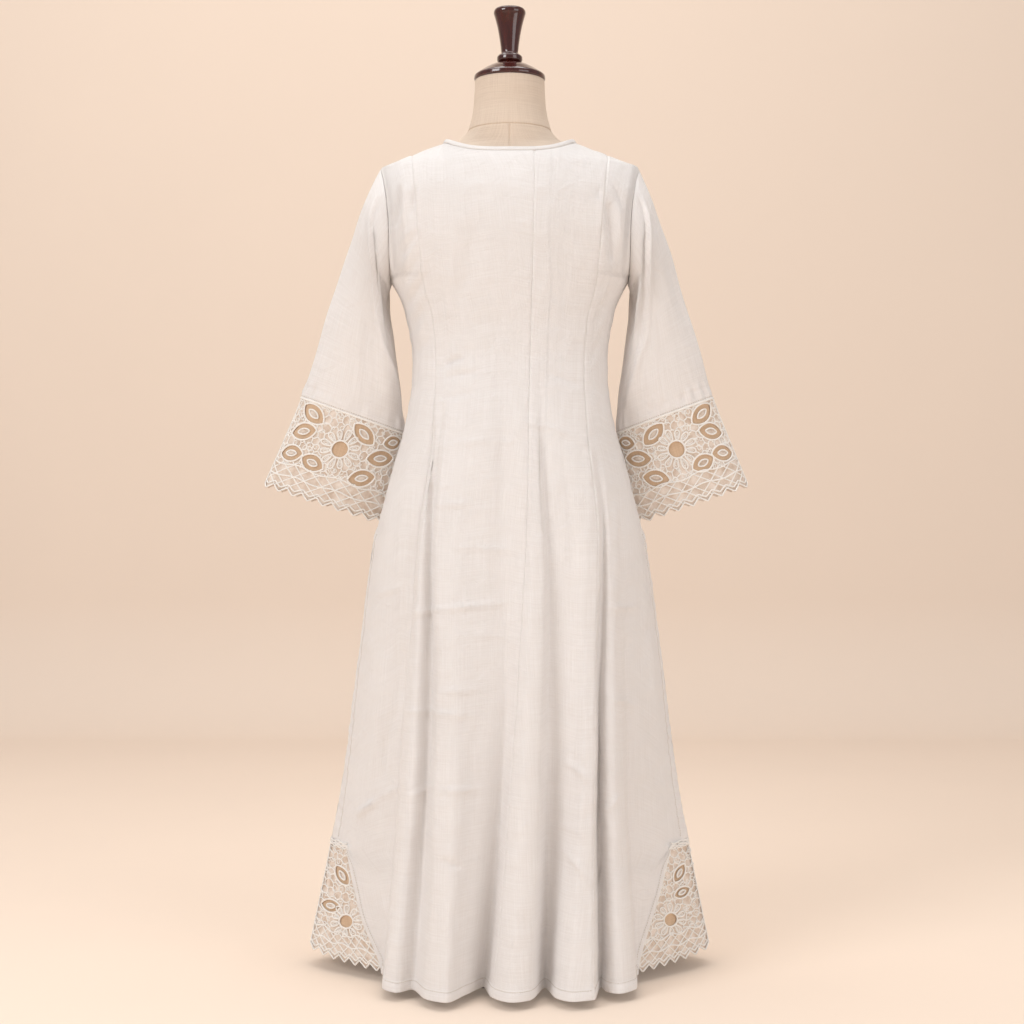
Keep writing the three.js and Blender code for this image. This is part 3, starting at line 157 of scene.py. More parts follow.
frontCreases = table("x0 z0 x1 z1 bow width height", [
    (-120, 655, -30, 662, 2, 2.2, 0.7), (-20, 588, 95, 580, 3, 2.4, 0.8), (-165, 498, -60, 510, 2, 2.4, 0.9),
    (60, 452, 150, 440, 2, 2.2, 0.8), (-90, 366, 20, 358, 2, 2.4, 0.8), (95, 318, 175, 330, 1, 2.2, 0.7),
    (-150, 252, -70, 246, 1, 2.4, 0.8), (10, 214, 90, 222, 2, 2.2, 0.7),
    (66, 886, 96, 896, 1, 3, -1.4), (-98, 872, -48, 880, 1, 3, -1.0), (40, 848, 101, 838, 1, 3, -0.8),
    (-155, 1062, -118, 1100, 2, 5, 1.8), (-152, 1036, -116, 1082, 2, 4.5, -2.2),
    (-149, 1006, -112, 1052, 2, 5, 1.7), (-146, 976, -110, 1020, 2, 4.5, -1.8),
    (156, 1058, 120, 1098, 2, 5, 1.6), (152, 1030, 117, 1076, 2, 4.5, -2.1),
    (150, 1000, 113, 1048, 2, 5, 1.8), (147, 968, 111, 1012, 2, 4.5, -1.6),
    (-160, 1150, -168, 1082, 1, 5, -3.6), (-149, 1150, -156, 1086, 1, 4, 2.0),
    (158, 1152, 166, 1090, 1, 5, -3.2), (148, 1148, 154, 1080, 1, 4, 1.8),
    (-60, 1010, -82, 900, 2, 12, -2.0), (55, 1020, 70, 905, 2, 12, -1.8), (0, 960, 4, 860, 1, 14, -1.4),
    (-62, 850, -60, 640, 2, 9, -2.6), (30, 860, 26, 650, 2, 9, -3.0), (92, 840, 96, 660, 1, 8, -2.6),
    (-172, 470, -196, 290, 2, 8, -2.2), (176, 480, 198, 300, 2, 8, -2.4), (190, 600, 206, 430, 2, 8, -1.6),
    (-60, 400, -66, 250, 1, 7, 0.9), (86, 390, 92, 230, 1, 7, 0.9), (10, 330, 8, 180, 1, 7, -0.8),
])

sleeveRings = table("outerX outerZ innerX innerZ halfThickness forward", [
    (206, 1166, 179, 1015, 68, 0), (222, 1124, 177, 999, 66, 1), (238, 1082, 173, 976, 61, 4),
    (254, 1036, 169, 946, 56, 9), (275, 976, 165, 903, 50, 17), (295, 914, 161, 852, 44, 28),
    (316, 850, 163, 796, 38, 40), (345, 783, 174, 727, 35, 48), (377, 714, 191, 654, 33, 56),
])
sleeveFolds = table("turn width depth begin end", [
    (0.13, 0.07, -6, 1.5, 6), (0.27, 0.06, -9, 1, 5.6), (0.37, 0.05, 6, 1.5, 5.8),
    (0.44, 0.05, -10, 0.6, 3.6), (0.64, 0.07, -8, 1, 5.6), (0.8, 0.06, -6, 1.5, 5.8),
])
sleeve = {
    "left": -1, "right": 1, "leftReach": 1, "rightReach": 0.94,
    "seamRing": 6, "endRing": 8, "headRings": 0.7, "columns": 150, "ringStep": 0.066,
    "tipX": 193.0, "ripple": 0.8, "gathers": 1.5,
    "turnScale": 300, "ringScale": 62,  # millimetres for a whole turn and for a ring, for the creases
}
# The long fold on the sleeve's back: where it lies on each ring and how far the cloth behind it drops.
tuck = {
    "ring": [0.35, 0.94, 1.8, 3.4, 4.04, 4.66, 5.34, 5.7],
    "leftTurn": [0.15, 0.215, 0.262, 0.326, 0.364, 0.418, 0.47, 0.5],
    "rightTurn": [0.15, 0.2, 0.24, 0.28, 0.31, 0.35, 0.4, 0.43],
    "depth": [5, 10, 10, 8, 6.5, 4.5, 2, 0], "width": 6.0, "endTurn": 0.62,
    "fade": 34, "wander": 1.5,
}
# The sleeve's creases, on the same plan: how far round in turns and how far down in rings.
sleeveCreases = table("turn0 ring0 turn1 ring1 bow width height", [
    (0.40, 0.25, 0.43, 2.4, 2, 9, -2), (0.36, 3.2, 0.44, 5.4, 3, 6, 0.8),
    (0.2, 0.8, 0.22, 5.0, 4, 9, -1.4), (0.16, 1.8, 0.13, 5.6, 3, 6, 1.1),
    (0.09, 2.2, 0.07, 5.6, 2, 5, -1.4), (0.25, 3.4, 0.27, 5.8, 2, 5, 1.6), (0.06, 0.4, 0.10, 3.0, 2, 6, -1.2),
    (0.3, 2.6, 0.33, 5.6, 2, 4, -1.6), (0.19, 0.3, 0.3, 1.3, 2, 5, 1.4), (0.12, 0.3, 0.16, 1.5, 2, 5, -1.4),
    (0.66, 0.4, 0.64, 2.6, 2, 8, -2.4), (0.72, 0.6, 0.7, 3.6, 2, 7, 1.4), (0.78, 1.5, 0.8, 5.4, 3, 7, -1.2),
    (0.84, 1.8, 0.86, 5.4, 2, 6, 1.6), (0.92, 2.0, 0.94, 5.2, 2, 6, -1.4), (0.55, 2.6, 0.57, 5.0, 2, 6, 2),
])


# Curves and waves that the shapes are built from.
def lerp(start, end, share):
    """The start plus a share of the way from it to the end."""
    return start + (end - start) * share


def meanSlope(before, after):
    """Twice the product of two slopes over their sum, or nothing where their signs differ."""
    product = before * after
    return np.where(product > 0, 2 * product / np.where(product > 0, before + after, 1), 0)


def hermite(way, width, startValue, endValue, startSlope, endSlope):
    """A cubic: each end value by an ease, plus each end slope by the width and a bend."""
    rest = 1 - way
    bends = startSlope * width * way * rest * rest - endSlope * width * way * way * rest
    return startValue * rest * rest * (1 + 2 * way) + endValue * way * way * (3 - 2 * way) + bends


def smoothCurve(xs, ys, at):
    """Cubics through all the points, with mean slopes between them, so that none overshoots."""
    slopes = np.diff(ys) / np.diff(xs)
    inner = meanSlope(slopes[:-1], slopes[1:])
    tangents = np.concatenate([slopes[:1], inner, slopes[-1:]])
    at = np.clip(at, xs[0], xs[-1])
    i = np.clip(np.searchsorted(xs, at, side="right") - 1, 0, len(xs) - 2)
    width = xs[i + 1] - xs[i]
    return hermite((at - xs[i]) / width, width, ys[i], ys[i + 1], tangents[i], tangents[i + 1])


def bisect(low, high, isPast):
    """Where a test turns true: the span between two bounds is halved 36 times."""
    low, high = np.asarray(low, dtype=float), np.asarray(high, dtype=float)
    for _ in range(36):
        middle = (low + high) / 2
        past = isPast(middle)
        low, high = np.where(past, low, middle), np.where(past, middle, high)
    return (low + high) / 2


def smoothStep(start, end, value):
    """Eases from nothing to one: three times the square of the way less twice its cube."""
    way = np.clip((value - start) / (end - start), 0, 1)
    return way * way * (3 - 2 * way)


def unit(vectors):
    """Each vector over its own length."""
    return vectors / np.maximum(np.linalg.norm(vectors, axis=-1, keepdims=True), 1e-9)


def softNoise(x, y, wavelength, seed):
    """Seven sine waves of random direction, phase and length, summed, over the root of seven."""
    chance = np.random.default_rng(seed)
    total = np.zeros(np.broadcast(x, y).shape)
    for _ in range(7):
        angle, phase, stretch = chance.uniform(0, 2 * np.pi, 2).tolist() + [chance.uniform(0.7, 1.5)]
        along = (x * np.cos(angle) + y * np.sin(angle)) * 2 * np.pi / (wavelength * stretch)
        total += np.sin(along + phase)
    return total / 7 ** 0.5


# The body of the garment, as two halves that meet at the sides.
def halfWidthAt(z):
    """The body's half width at a height, from the curve through its sections."""
    return smoothCurve(bodySections["z"], bodySections["halfWidth"], z)


def seamX(kind, z):
    """How far out a seam of each kind lies at a height, from the left edge, 0, to the right edge, 4."""
    armhole = smoothCurve(seamLines["z"], seamLines["armhole"], z)
    edge = np.where(z < cut["armpitZ"], halfWidthAt(z), armhole)
    princess = smoothCurve(seamLines["z"], seamLines["princess"], z)
    centre = smoothCurve(seamLines["z"], seamLines["centre"], z)
    return np.choose(kind, [-edge, -princess, centre, princess, edge])


tableSteps = 2  # table rows a millimetre
heightTable = np.arange(0, 1232 * tableSteps + 1) / tableSteps
sectionTable = {key: smoothCurve(bodySections["z"], bodySections[key], heightTable)
                for key in ("halfWidth", "back", "front", "power", "fall")}
shoulderZ = np.linspace(cut["shoulderTipZ"], cut["neckPointZ"], 1200)
shoulderX = halfWidthAt(shoulderZ)


def makeHalf(side, lines):
    """The back or the front, as functions of a place between its lines and a height in millimetres."""
    seam = lines["seam"].astype(int)
    last = len(seam) - 1
    seams = np.flatnonzero(seam >= 0)
    places = np.arange(last + 1)
    right = seams[np.searchsorted(seams, places, side="left")]
    left = seams[np.searchsorted(seams, places, side="right") - 1]
    hipWidth = halfWidthAt(np.array(float(cut["hipZ"])))
    hipSeams = seamX(np.maximum(seam, 0), np.full(last + 1, float(cut["hipZ"])))
    hipX = np.where(seam >= 0, hipSeams, lines["hip"] * hipWidth)
    span = hipX[right] - hipX[left]
    share = np.where(span > 0, (hipX - hipX[left]) / np.where(span > 0, span, 1), 0)
    hipShare = hipX / hipWidth
    lowSlope = (lines["knee"] - lines["hem"]) / (cut["kneeZ"] - cut["hemZ"])
    highSlope = (hipShare - lines["knee"]) / (cut["hipZ"] - cut["kneeZ"])
    kneeSlope = meanSlope(lowSlope, highSlope)

    def shapeX(i, z):
        """Share of the half width, by cubics through hem, knee and hip, and above that between two seams."""
        way = np.clip(z, cut["hemZ"], cut["hipZ"])
        lowWidth, highWidth = cut["kneeZ"] - cut["hemZ"], cut["hipZ"] - cut["kneeZ"]
        low = hermite((way - cut["hemZ"]) / lowWidth, lowWidth, lines["hem"][i], lines["knee"][i],
                      lowSlope[i], kneeSlope[i])
        high = hermite((way - cut["kneeZ"]) / highWidth, highWidth, lines["knee"][i], hipShare[i],
                       kneeSlope[i], highSlope[i])
        below = np.where(way < cut["kneeZ"], low, high) * halfWidthAt(z)
        above = lerp(seamX(seam[left[i]], z), seamX(seam[right[i]], z), share[i])
        return np.where(z < cut["hipZ"], below, above)

    def shapeRise(i, z):
        """The rise at the hem by a power of the share of the way down from where it starts."""
        start = lines["start"][i]
        return lines["rise"][i] * np.clip((start - z) / (start - cut["hemZ"]), 0, 1.02) ** cut["foldGrowth"]

    everyLine, everyZ = np.meshgrid(places, heightTable, indexing="ij")
    tableX, tableRise = shapeX(everyLine, everyZ), shapeRise(everyLine, everyZ)

    def fromTable(values, i, z):
        """A value between two steps of a table, by the height's share of the way."""
        step, part = np.divmod(np.clip(z, 0, heightTable[-2]) * tableSteps, 1)
        step = step.astype(int)
        return lerp(values[i, step], values[i, step + 1], part)

    def lineX(i, z):
        """Where a line lies sideways."""
        return fromTable(tableX, i, z)

    def lineRise(i, z):
        """How far a line stands out."""
        return fromTable(tableRise, i, z)

    def acrossLines(valueOf, u, z):
        """A cubic between two lines' values, with mean slopes from the lines beside them."""
        i = np.clip(np.floor(u).astype(int), 0, last - 1)
        here, there = valueOf(i, z), valueOf(i + 1, z)
        slope = there - here
        before = here - valueOf(np.maximum(i - 1, 0), z)
        after = valueOf(np.minimum(i + 2, last), z) - there
        start = np.where(i == 0, slope, meanSlope(before, slope))
        end = np.where(i == last - 1, slope, meanSlope(slope, after))
        return hermite(u - i, 1, here, there, start, end)

    def xAt(u, z):
        """Where a place between the lines lies sideways."""
        u, z = np.broadcast_arrays(np.asarray(u, dtype=float), np.asarray(z, dtype=float))
        return acrossLines(lineX, u, z)

    def pointAt(u, z):
        """Depth: the section's, by a power of one less a power of the share across, plus the rise."""
        u, z = np.broadcast_arrays(np.asarray(u, dtype=float), np.asarray(z, dtype=float))
        x = acrossLines(lineX, u, z)
        section = {key: np.interp(z, heightTable, values) for key, values in sectionTable.items()}
        share = np.minimum(np.abs(x) / section["halfWidth"], 1)
        depth = section[side] * (1 - share ** section["power"]) ** section["fall"]
        depth = depth + acrossLines(lineRise, u, z)
        return np.stack([x, -depth if side == "back" else depth, z], axis=-1)

    def edgeZ(x):
        """The neckline's height, by a power of the share across it, or the shoulder's beyond it."""
        share = np.minimum(np.abs(x) / cut["neckHalfWidth"], 1)
        if side == "back":
            neck = cut["neckPointZ"] - cut["backNeckDrop"] * (1 - share ** 3.5)
        else:
            neck = cut["neckPointZ"] - cut["frontNeckDrop"] * np.sqrt(1 - share ** 2.2)
        shoulder = np.interp(np.abs(x), shoulderX[::-1], shoulderZ[::-1])
        return np.where(np.abs(x) < cut["neckHalfWidth"], neck, shoulder)

    def topAt(u):
        """The height where the cloth ends at the neckline or the shoulder."""
        u = np.asarray(u, dtype=float)
        low = np.full(u.shape, float(cut["armpitZ"]))
        return bisect(low, low * 0 + cut["neckPointZ"] + 1, lambda z: z > edgeZ(xAt(u, z)))

    def hemAt(u):
        """The hem's height, which rises by the fourth power of the share across."""
        share = np.abs(xAt(u, float(cut["hemZ"]))) / halfWidthAt(np.array(float(cut["hemZ"])))
        return cut["hemZ"] + cut["hemLift"] * share ** 4

    topReach, feet = {}, {True: footLines[side][0], False: last - footLines[side][1]}
    for isLeft in (True, False):
        atTop = pointAt(0.0 if isLeft else float(last), cut["cornerTopZ"])
        wide = np.linspace(0, feet[isLeft], 2000)
        places = pointAt(wide if isLeft else last - wide, cut["cornerTopZ"])
        topReach[isLeft] = wide[np.argmax(np.linalg.norm(places - atTop, axis=-1) > cut["cornerTopWidth"])]

    def cornerEdge(z, isLeft):
        """Where a corner's slanted edge lies: evenly from its reach at the top to its foot at the hem."""
        share = (cut["cornerTopZ"] - z) / (cut["cornerTopZ"] - cut["hemZ"])
        return lerp(topReach[isLeft], feet[isLeft], share)

    return {"side": side, "seams": seams, "last": last, "xAt": xAt, "pointAt": pointAt, "edgeZ": edgeZ,
            "topAt": topAt, "hemAt": hemAt, "cornerEdge": cornerEdge}


back = makeHalf("back", backLines)
front = makeHalf("front", frontLines)


# Meshes from grids of points.
def makeMesh(name, points, faces, material, uv=None):
    """A mesh from points in millimetres and faces as rows of corners, riding on the body."""
    mesh = bpy.data.meshes.new(name)
    points = np.asarray(points, dtype=float).reshape(-1, 3) * millimetre
    sizes = np.concatenate([np.full(len(part), part.shape[1]) for part in faces])
    corners = np.concatenate([part.ravel() for part in faces]).astype(np.int32)
    mesh.vertices.add(len(points))
    mesh.vertices.foreach_set("co", points.ravel())
    mesh.loops.add(len(corners))
    mesh.loops.foreach_set("vertex_index", corners)
    mesh.polygons.add(len(sizes))
    mesh.polygons.foreach_set("loop_start", np.concatenate([[0], np.cumsum(sizes)[:-1]]).astype(np.int32))
    mesh.polygons.foreach_set("use_smooth", np.full(len(sizes), True))
    if uv is not None:
        layer = mesh.uv_layers.new(name="cloth")
        layer.data.foreach_set("uv", (np.asarray(uv).reshape(-1, 2)[corners] * millimetre).ravel())
    mesh.update()
    mesh.validate()
    mesh.materials.append(material)
    piece = bpy.data.objects.new(name, mesh)
    bpy.context.scene.collection.objects.link(piece)
    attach(piece, "root")
    return piece


def gridQuads(rows, columns, isRing=False, start=0):
    """Faces between a grid's rows and columns. In a ring the last column joins the first."""
    spans = columns if isRing else columns - 1
    row, column = np.meshgrid(np.arange(rows - 1), np.arange(spans), indexing="ij")
    following = (column + 1) % columns
    here, above = row * columns, (row + 1) * columns
    quads = np.stack([here + column, here + following, above + following, above + column], axis=-1)
    return quads.reshape(-1, 4) + start


def wallFaces(rows, columns, isRing=False):
    """A closed wall: an outer grid, an inner one turned over, and strips along the open edges."""
    inner = rows * columns
    outside = gridQuads(rows, columns, isRing)
    inside = gridQuads(rows, columns, isRing, inner)[:, ::-1]
    spans = np.arange(columns if isRing else columns - 1)
    following = (spans + 1) % columns
    top = (rows - 1) * columns
    bottomEdge = np.stack([spans, inner + spans, inner + following, following], axis=-1)
    topEdge = np.stack([top + spans, top + following, inner + top + following, inner + top + spans], axis=-1)
    parts = [outside, inside, bottomEdge, topEdge]
    if not isRing:
        up = np.arange(rows - 1) * columns
        parts.append(np.stack([up, up + columns, inner + up + columns, inner + up], axis=-1))
        end = up + columns - 1
        parts.append(np.stack([end, inner + end, inner + end + columns, end + columns], axis=-1))
    return np.concatenate(parts)


def facesOutward(points, quads):
    """Turns the faces over if the volume they close, a sum of tetrahedra, is below nothing."""
    a, b, c, d = (points[quads[:, i]] for i in range(4))
    volume = np.einsum("ij,ij->i", a, np.cross(b, c)).sum() + np.einsum("ij,ij->i", a, np.cross(c, d)).sum()
    return quads if volume > 0 else quads[:, ::-1]


def gridNormals(points, isRing=False):
    """Across the grid crossed with up the grid, from neighbouring points."""
    if isRing:
        across = np.roll(points, -1, axis=1) - np.roll(points, 1, axis=1)
    else:
        across = np.gradient(points, axis=1)
    return unit(np.cross(across, np.gradient(points, axis=0)))


def pullIn(points, distance, axis):
    """Moves the first and last rows or columns by a distance towards their neighbours."""
    moved = np.moveaxis(points.copy(), axis, 0)
    moved[0] += unit(moved[1] - moved[0]) * distance
    moved[-1] += unit(moved[-2] - moved[-1]) * distance
    return np.moveaxis(moved, 0, axis)


def edgeDistances(points):
    """Distances to the left, right, lower and upper edges, as sums of the steps between points."""
    across = np.linalg.norm(np.diff(points, axis=1), axis=-1)
    up = np.linalg.norm(np.diff(points, axis=0), axis=-1)
    left = np.concatenate([np.zeros((len(points), 1)), np.cumsum(across, axis=1)], axis=1)
    bottom = np.concatenate([np.zeros((1, points.shape[1])), np.cumsum(up, axis=0)], axis=0)
    return left, left[:, -1:] - left, bottom, bottom[-1:] - bottom


# How strongly creases rise: fine ones are those narrower than the limit, and none is narrower than the least.
creaseStrength = {"fine": 3.2, "broad": 1.2, "fineLimit": 3.5, "leastWidth": 3.3}


def creaseHeight(creases, x, y):
    """Each crease rises by a power of a sine along its bowed line and by a bell curve across it."""
    height = np.zeros(np.broadcast(x, y).shape)
    for x0, y0, x1, y1, bow, width, rise in zip(*creases.values()):
        length = np.hypot(x1 - x0, y1 - y0)
        alongX, alongY = (x1 - x0) / length, (y1 - y0) / length
        way = ((x - x0) * alongX + (y - y0) * alongY) / length
        inside = np.sin(np.pi * np.clip(way, 0, 1))
        aside = (y - y0) * alongX - (x - x0) * alongY - bow * inside
        strength = creaseStrength["fine" if width < creaseStrength["fineLimit"] else "broad"]
        across = np.exp(-((aside / max(width, creaseStrength["leastWidth"])) ** 2))
        height += strength * rise * inside ** 0.6 * across
    return height


# Node groups and materials for the cloth.
def nodeGroup(name, inputs, outputs):
    """An empty node group with named inputs and outputs."""
    group = bpy.data.node_groups.new(name, "ShaderNodeTree")
    for label, kind, value in inputs:
        socket = group.interface.new_socket(name=label, in_out="INPUT", socket_type=kind)
        if value is not None:
            socket.default_value = value
    for label, kind in outputs:
        group.interface.new_socket(name=label, in_out="OUTPUT", socket_type=kind)
    return group, group.nodes.new("NodeGroupInput"), group.nodes.new("NodeGroupOutput")


def addNode(tree, kind, settings=None, links=None):
    """A node with its settings, whose inputs are linked to sockets or set to values."""
    node = tree.nodes.new(kind)
    for key, value in (settings or {}).items():
        setattr(node, key, value)
    for key, source in (links or {}).items():
        if isinstance(source, bpy.types.NodeSocket):
            tree.links.new(source, node.inputs[key])
        else:
            node.inputs[key].default_value = source
    return node


def mathNode(tree, operation, first, second=0.0):
    """The result of one operation on two sockets or numbers."""
    return addNode(tree, "ShaderNodeMath", {"operation": operation}, {0: first, 1: second}).outputs[0]


def noiseNode(tree, vector, **values):
    """Noise at a place, with its scale, detail and the like as named."""
    return addNode(tree, "ShaderNodeTexNoise", None, {"Vector": vector, **values}).outputs["Fac"]


def addBump(tree, shader, strength, distance, height):
    """Bends the shader's normal by the slope of a height."""
    bump = addNode(tree, "ShaderNodeBump", None,
                   {"Strength": strength, "Distance": distance, "Height": height})
    tree.links.new(bump.outputs["Normal"], shader.inputs["Normal"])


def makeWeaveGroup():
    """Threads cross over and under: sine waves across and along, with thicker threads here and there."""
    group, given, result = nodeGroup(
        "wovenThreads",
        [("Vector", "NodeSocketVector", None), ("Thread", "NodeSocketFloat", 1500.0),
         ("Slub", "NodeSocketFloat", 1.0)],
        [("Height", "NodeSocketFloat"), ("Shade", "NodeSocketFloat")],
    )
    place = addNode(group, "ShaderNodeSeparateXYZ", None, {0: given.outputs["Vector"]})
    waves = []
    for axis in ("X", "Y"):
        along = mathNode(group, "MULTIPLY", place.outputs[axis], given.outputs["Thread"])
        waves.append(mathNode(group, "SINE", along))
    weave = mathNode(group, "MULTIPLY", waves[0], waves[1])
    slubs = []
    for stretch in ((900.0, 14.0, 1.0), (14.0, 900.0, 1.0)):
        scaled = addNode(group, "ShaderNodeVectorMath", {"operation": "MULTIPLY"},
                         {0: given.outputs["Vector"], 1: stretch})
        slubs.append(noiseNode(group, scaled.outputs[0], Scale=1.0, Detail=2.0, Roughness=0.6))
    slub = mathNode(group, "ADD", slubs[0], slubs[1])
    strong = mathNode(group, "MULTIPLY", slub, given.outputs["Slub"])
    woven = mathNode(group, "MULTIPLY", weave, 0.35)
    group.links.new(mathNode(group, "ADD", strong, woven), result.inputs["Height"])
    group.links.new(mathNode(group, "SUBTRACT", slub, 0.5), result.inputs["Shade"])
    return group


def makeMottleGroup():
    """Cloudiness of a colour, from one noise that is both broad and fine."""
    group, given, result = nodeGroup(
        "softMottle",
        [("Vector", "NodeSocketVector", None), ("Scale", "NodeSocketFloat", 12.0)],
        [("Shade", "NodeSocketFloat")],
    )
    cloud = noiseNode(group, given.outputs["Vector"], Scale=given.outputs["Scale"], Detail=5.0)
    group.links.new(cloud, result.inputs["Shade"])
    return group


weaveGroup = makeWeaveGroup()
mottleGroup = makeMottleGroup()


def newMaterial(name, roughness, extras=None):
    """A material, its node tree and its shader, at a roughness and with other inputs set."""
    material = bpy.data.materials.new(name)
    material.use_nodes = True
    shader = material.node_tree.nodes["Principled BSDF"]
    shader.inputs["Roughness"].default_value = roughness
    for key, value in (extras or {}).items():
        shader.inputs[key].default_value = value
    return material, material.node_tree, shader


def blendColours(tree, factor, first, second):
    """The first colour where the factor is nothing and the second where it is one."""
    mix = addNode(tree, "ShaderNodeMix", {"data_type": "RGBA"}, {0: factor})
    mix.inputs[6].default_value = (*first, 1)
    mix.inputs[7].default_value = (*second, 1)
    return mix.outputs[2]


def clothMaterial(name, look):
    """Woven cloth: mottled and slubbed colour, threads and crinkles in the bump."""
    material, tree, shader = newMaterial(name, look["roughness"], {
        "Sheen Weight": look["sheen"], "Sheen Roughness": 0.6, "Specular IOR Level": 0.25,
    })
    place = addNode(tree, "ShaderNodeTexCoord")
    weave = addNode(tree, "ShaderNodeGroup", {"node_tree": weaveGroup},
                    {"Vector": place.outputs["UV"], "Thread": look["thread"], "Slub": look["slub"]})
    mottle = addNode(tree, "ShaderNodeGroup", {"node_tree": mottleGroup},
                     {"Vector": place.outputs["Object"], "Scale": look["mottleScale"]})
    shade = mathNode(tree, "ADD", mathNode(tree, "MULTIPLY", weave.outputs["Shade"], 1.5),
                     mathNode(tree, "MULTIPLY", mottle.outputs["Shade"], 0.8))
    shade = mathNode(tree, "SUBTRACT", shade, 0.65)
    tree.links.new(blendColours(tree, shade, look["dark"], look["light"]), shader.inputs["Base Color"])
    crinkle = noiseNode(tree, place.outputs["Object"], Scale=look["crinkleScale"], Detail=4.0, Distortion=1.2)
    broad = addNode(tree, "ShaderNodeBump", None,
                    {"Strength": look["crinkle"], "Distance": 0.004, "Height": crinkle})
    fine = addNode(tree, "ShaderNodeBump", None,
                   {"Strength": look["weave"], "Distance": 0.0006, "Height": weave.outputs["Height"],
                    "Normal": broad.outputs["Normal"]})
    tree.links.new(fine.outputs["Normal"], shader.inputs["Normal"])
    return material


cottonLook = {
    "light": (0.92, 0.895, 0.885), "dark": (0.835, 0.80, 0.78), "roughness": 0.92, "sheen": 0.1,
    "thread": 4200.0, "slub": 1.0, "mottleScale": 9.0, "crinkleScale": 42.0, "crinkle": 0.5, "weave": 0.8,
}
linenLook = {
    "light": (0.80, 0.67, 0.55), "dark": (0.69, 0.56, 0.45), "roughness": 0.95, "sheen": 0.05,
    "thread": 3600.0, "slub": 1.3, "mottleScale": 14.0, "crinkleScale": 40.0, "crinkle": 0.1, "weave": 0.7,
}
liningLook = {
    "light": (0.72, 0.53, 0.37), "dark": (0.58, 0.41, 0.275), "roughness": 0.8, "sheen": 0.1,
    "thread": 4200.0, "slub": 0.6, "mottleScale": 20.0, "crinkleScale": 60.0, "crinkle": 0.2, "weave": 0.5,
}
cotton = clothMaterial("offWhiteCotton", cottonLook)
linen = clothMaterial("formLinen", linenLook)
liningCloth = clothMaterial("tanLining", liningLook)
print("materials for the cloth made")


# The panels: grid steps, and how strongly the cloth ripples and puckers.
panelShape = {
    "columnStep": 5.2, "rowStep": 4.5,
    "fineSlit": [0, 0.8, 1.8, 3.4, 5.2, 6.4, 7.2, 8.0, 9.6, 13, 17, 21, 24.4, 26.4, 27.4, 28.4, 29.4, 31.4],
    "fineSeam": [0, 0.7, 1.4, 2.2, 3.4, 5.4, 8.4, 12], "cornerEase": 0.07, "spreadHeight": 36,
    "narrower": 0.62, "endRoom": 0.8,
    "fineUp": [0, 1.2, 3, 6, 9.5, 11.2, 12.0, 12.8, 13.6, 14.4, 16, 19, 22.5],
    "upperRows": 40, "neckColumns": [1.03, 1, 0.985, 0.965, 0.94, 0.9],
    "ripple": 0.5, "broadRipple": 0.9, "seamPucker": 0.45, "slitPucker": 1.1,
    "hemPucker": 0.35, "armholeSeam": 0.45, "topSeam": 0.25,
}


def panelColumns(half, first, last):
    """Columns even by their mean distance apart, with fine ones at both edges and at the neck's corners."""
    fine = np.linspace(first, last, int((last - first) * 24) + 1)
    heights = np.array([14.0, 100, 186, 300, 480, 723, 900, 1010])
    points = half["pointAt"](fine[None, :], heights[:, None])
    lengths = np.linalg.norm(np.diff(points, axis=1), axis=-1).mean(axis=0)
    along = np.concatenate([[0], np.cumsum(lengths)])
    left = np.array(panelShape["fineSlit" if first == 0 else "fineSeam"])
    right = np.array(panelShape["fineSlit" if last == half["last"] else "fineSeam"])
    count = int(round((along[-1] - left[-1] - right[-1]) / panelShape["columnStep"]))
    middle = np.linspace(left[-1], along[-1] - right[-1], count + 1)
    distances = np.concatenate([left[:-1], middle, (along[-1] - right)[::-1][1:]])
    columns = np.interp(distances, along, fine)
    shares = np.array(panelShape["neckColumns"])
    shares = np.concatenate([-shares, shares[::-1]])
    heights = np.minimum(half["edgeZ"](shares * cut["neckHalfWidth"] * 0.9999), cut["neckPointZ"] - 12)
    corners = bisect(shares * 0, shares * 0 + half["last"],
                     lambda u: half["xAt"](u, heights) > shares * cut["neckHalfWidth"])
    corners = corners[(corners > first + 0.02) & (corners < last - 0.02)]
    free = np.array([np.all(np.abs(corners - u) > 0.025) for u in columns])
    free[:len(left)] = True
    free[-len(right):] = True
    return np.sort(np.concatenate([columns[free], corners])), left, right


def evenRow(half, places, height, nearLeft, nearRight):
    """Moves a row's columns so that the fine ones keep their distances, in mm, from the row's two ends."""
    points = half["pointAt"](places, height)
    spots = np.concatenate([[0], np.cumsum(np.linalg.norm(np.diff(points, axis=0), axis=-1))])
    total = spots[-1]
    room = min(1, panelShape["endRoom"] * total / (nearLeft[-1] + nearRight[-1]))
    nearLeft, nearRight = nearLeft * room, nearRight * room
    inner = spots[len(nearLeft) - 1:len(spots) - len(nearRight) + 1]
    inner = (inner - inner[0]) / (inner[-1] - inner[0])
    inner = lerp(nearLeft[-1], total - nearRight[-1], inner)
    wanted = np.concatenate([nearLeft[:-1], inner, (total - nearRight)[::-1][1:]])
    return np.interp(wanted, spots, places)


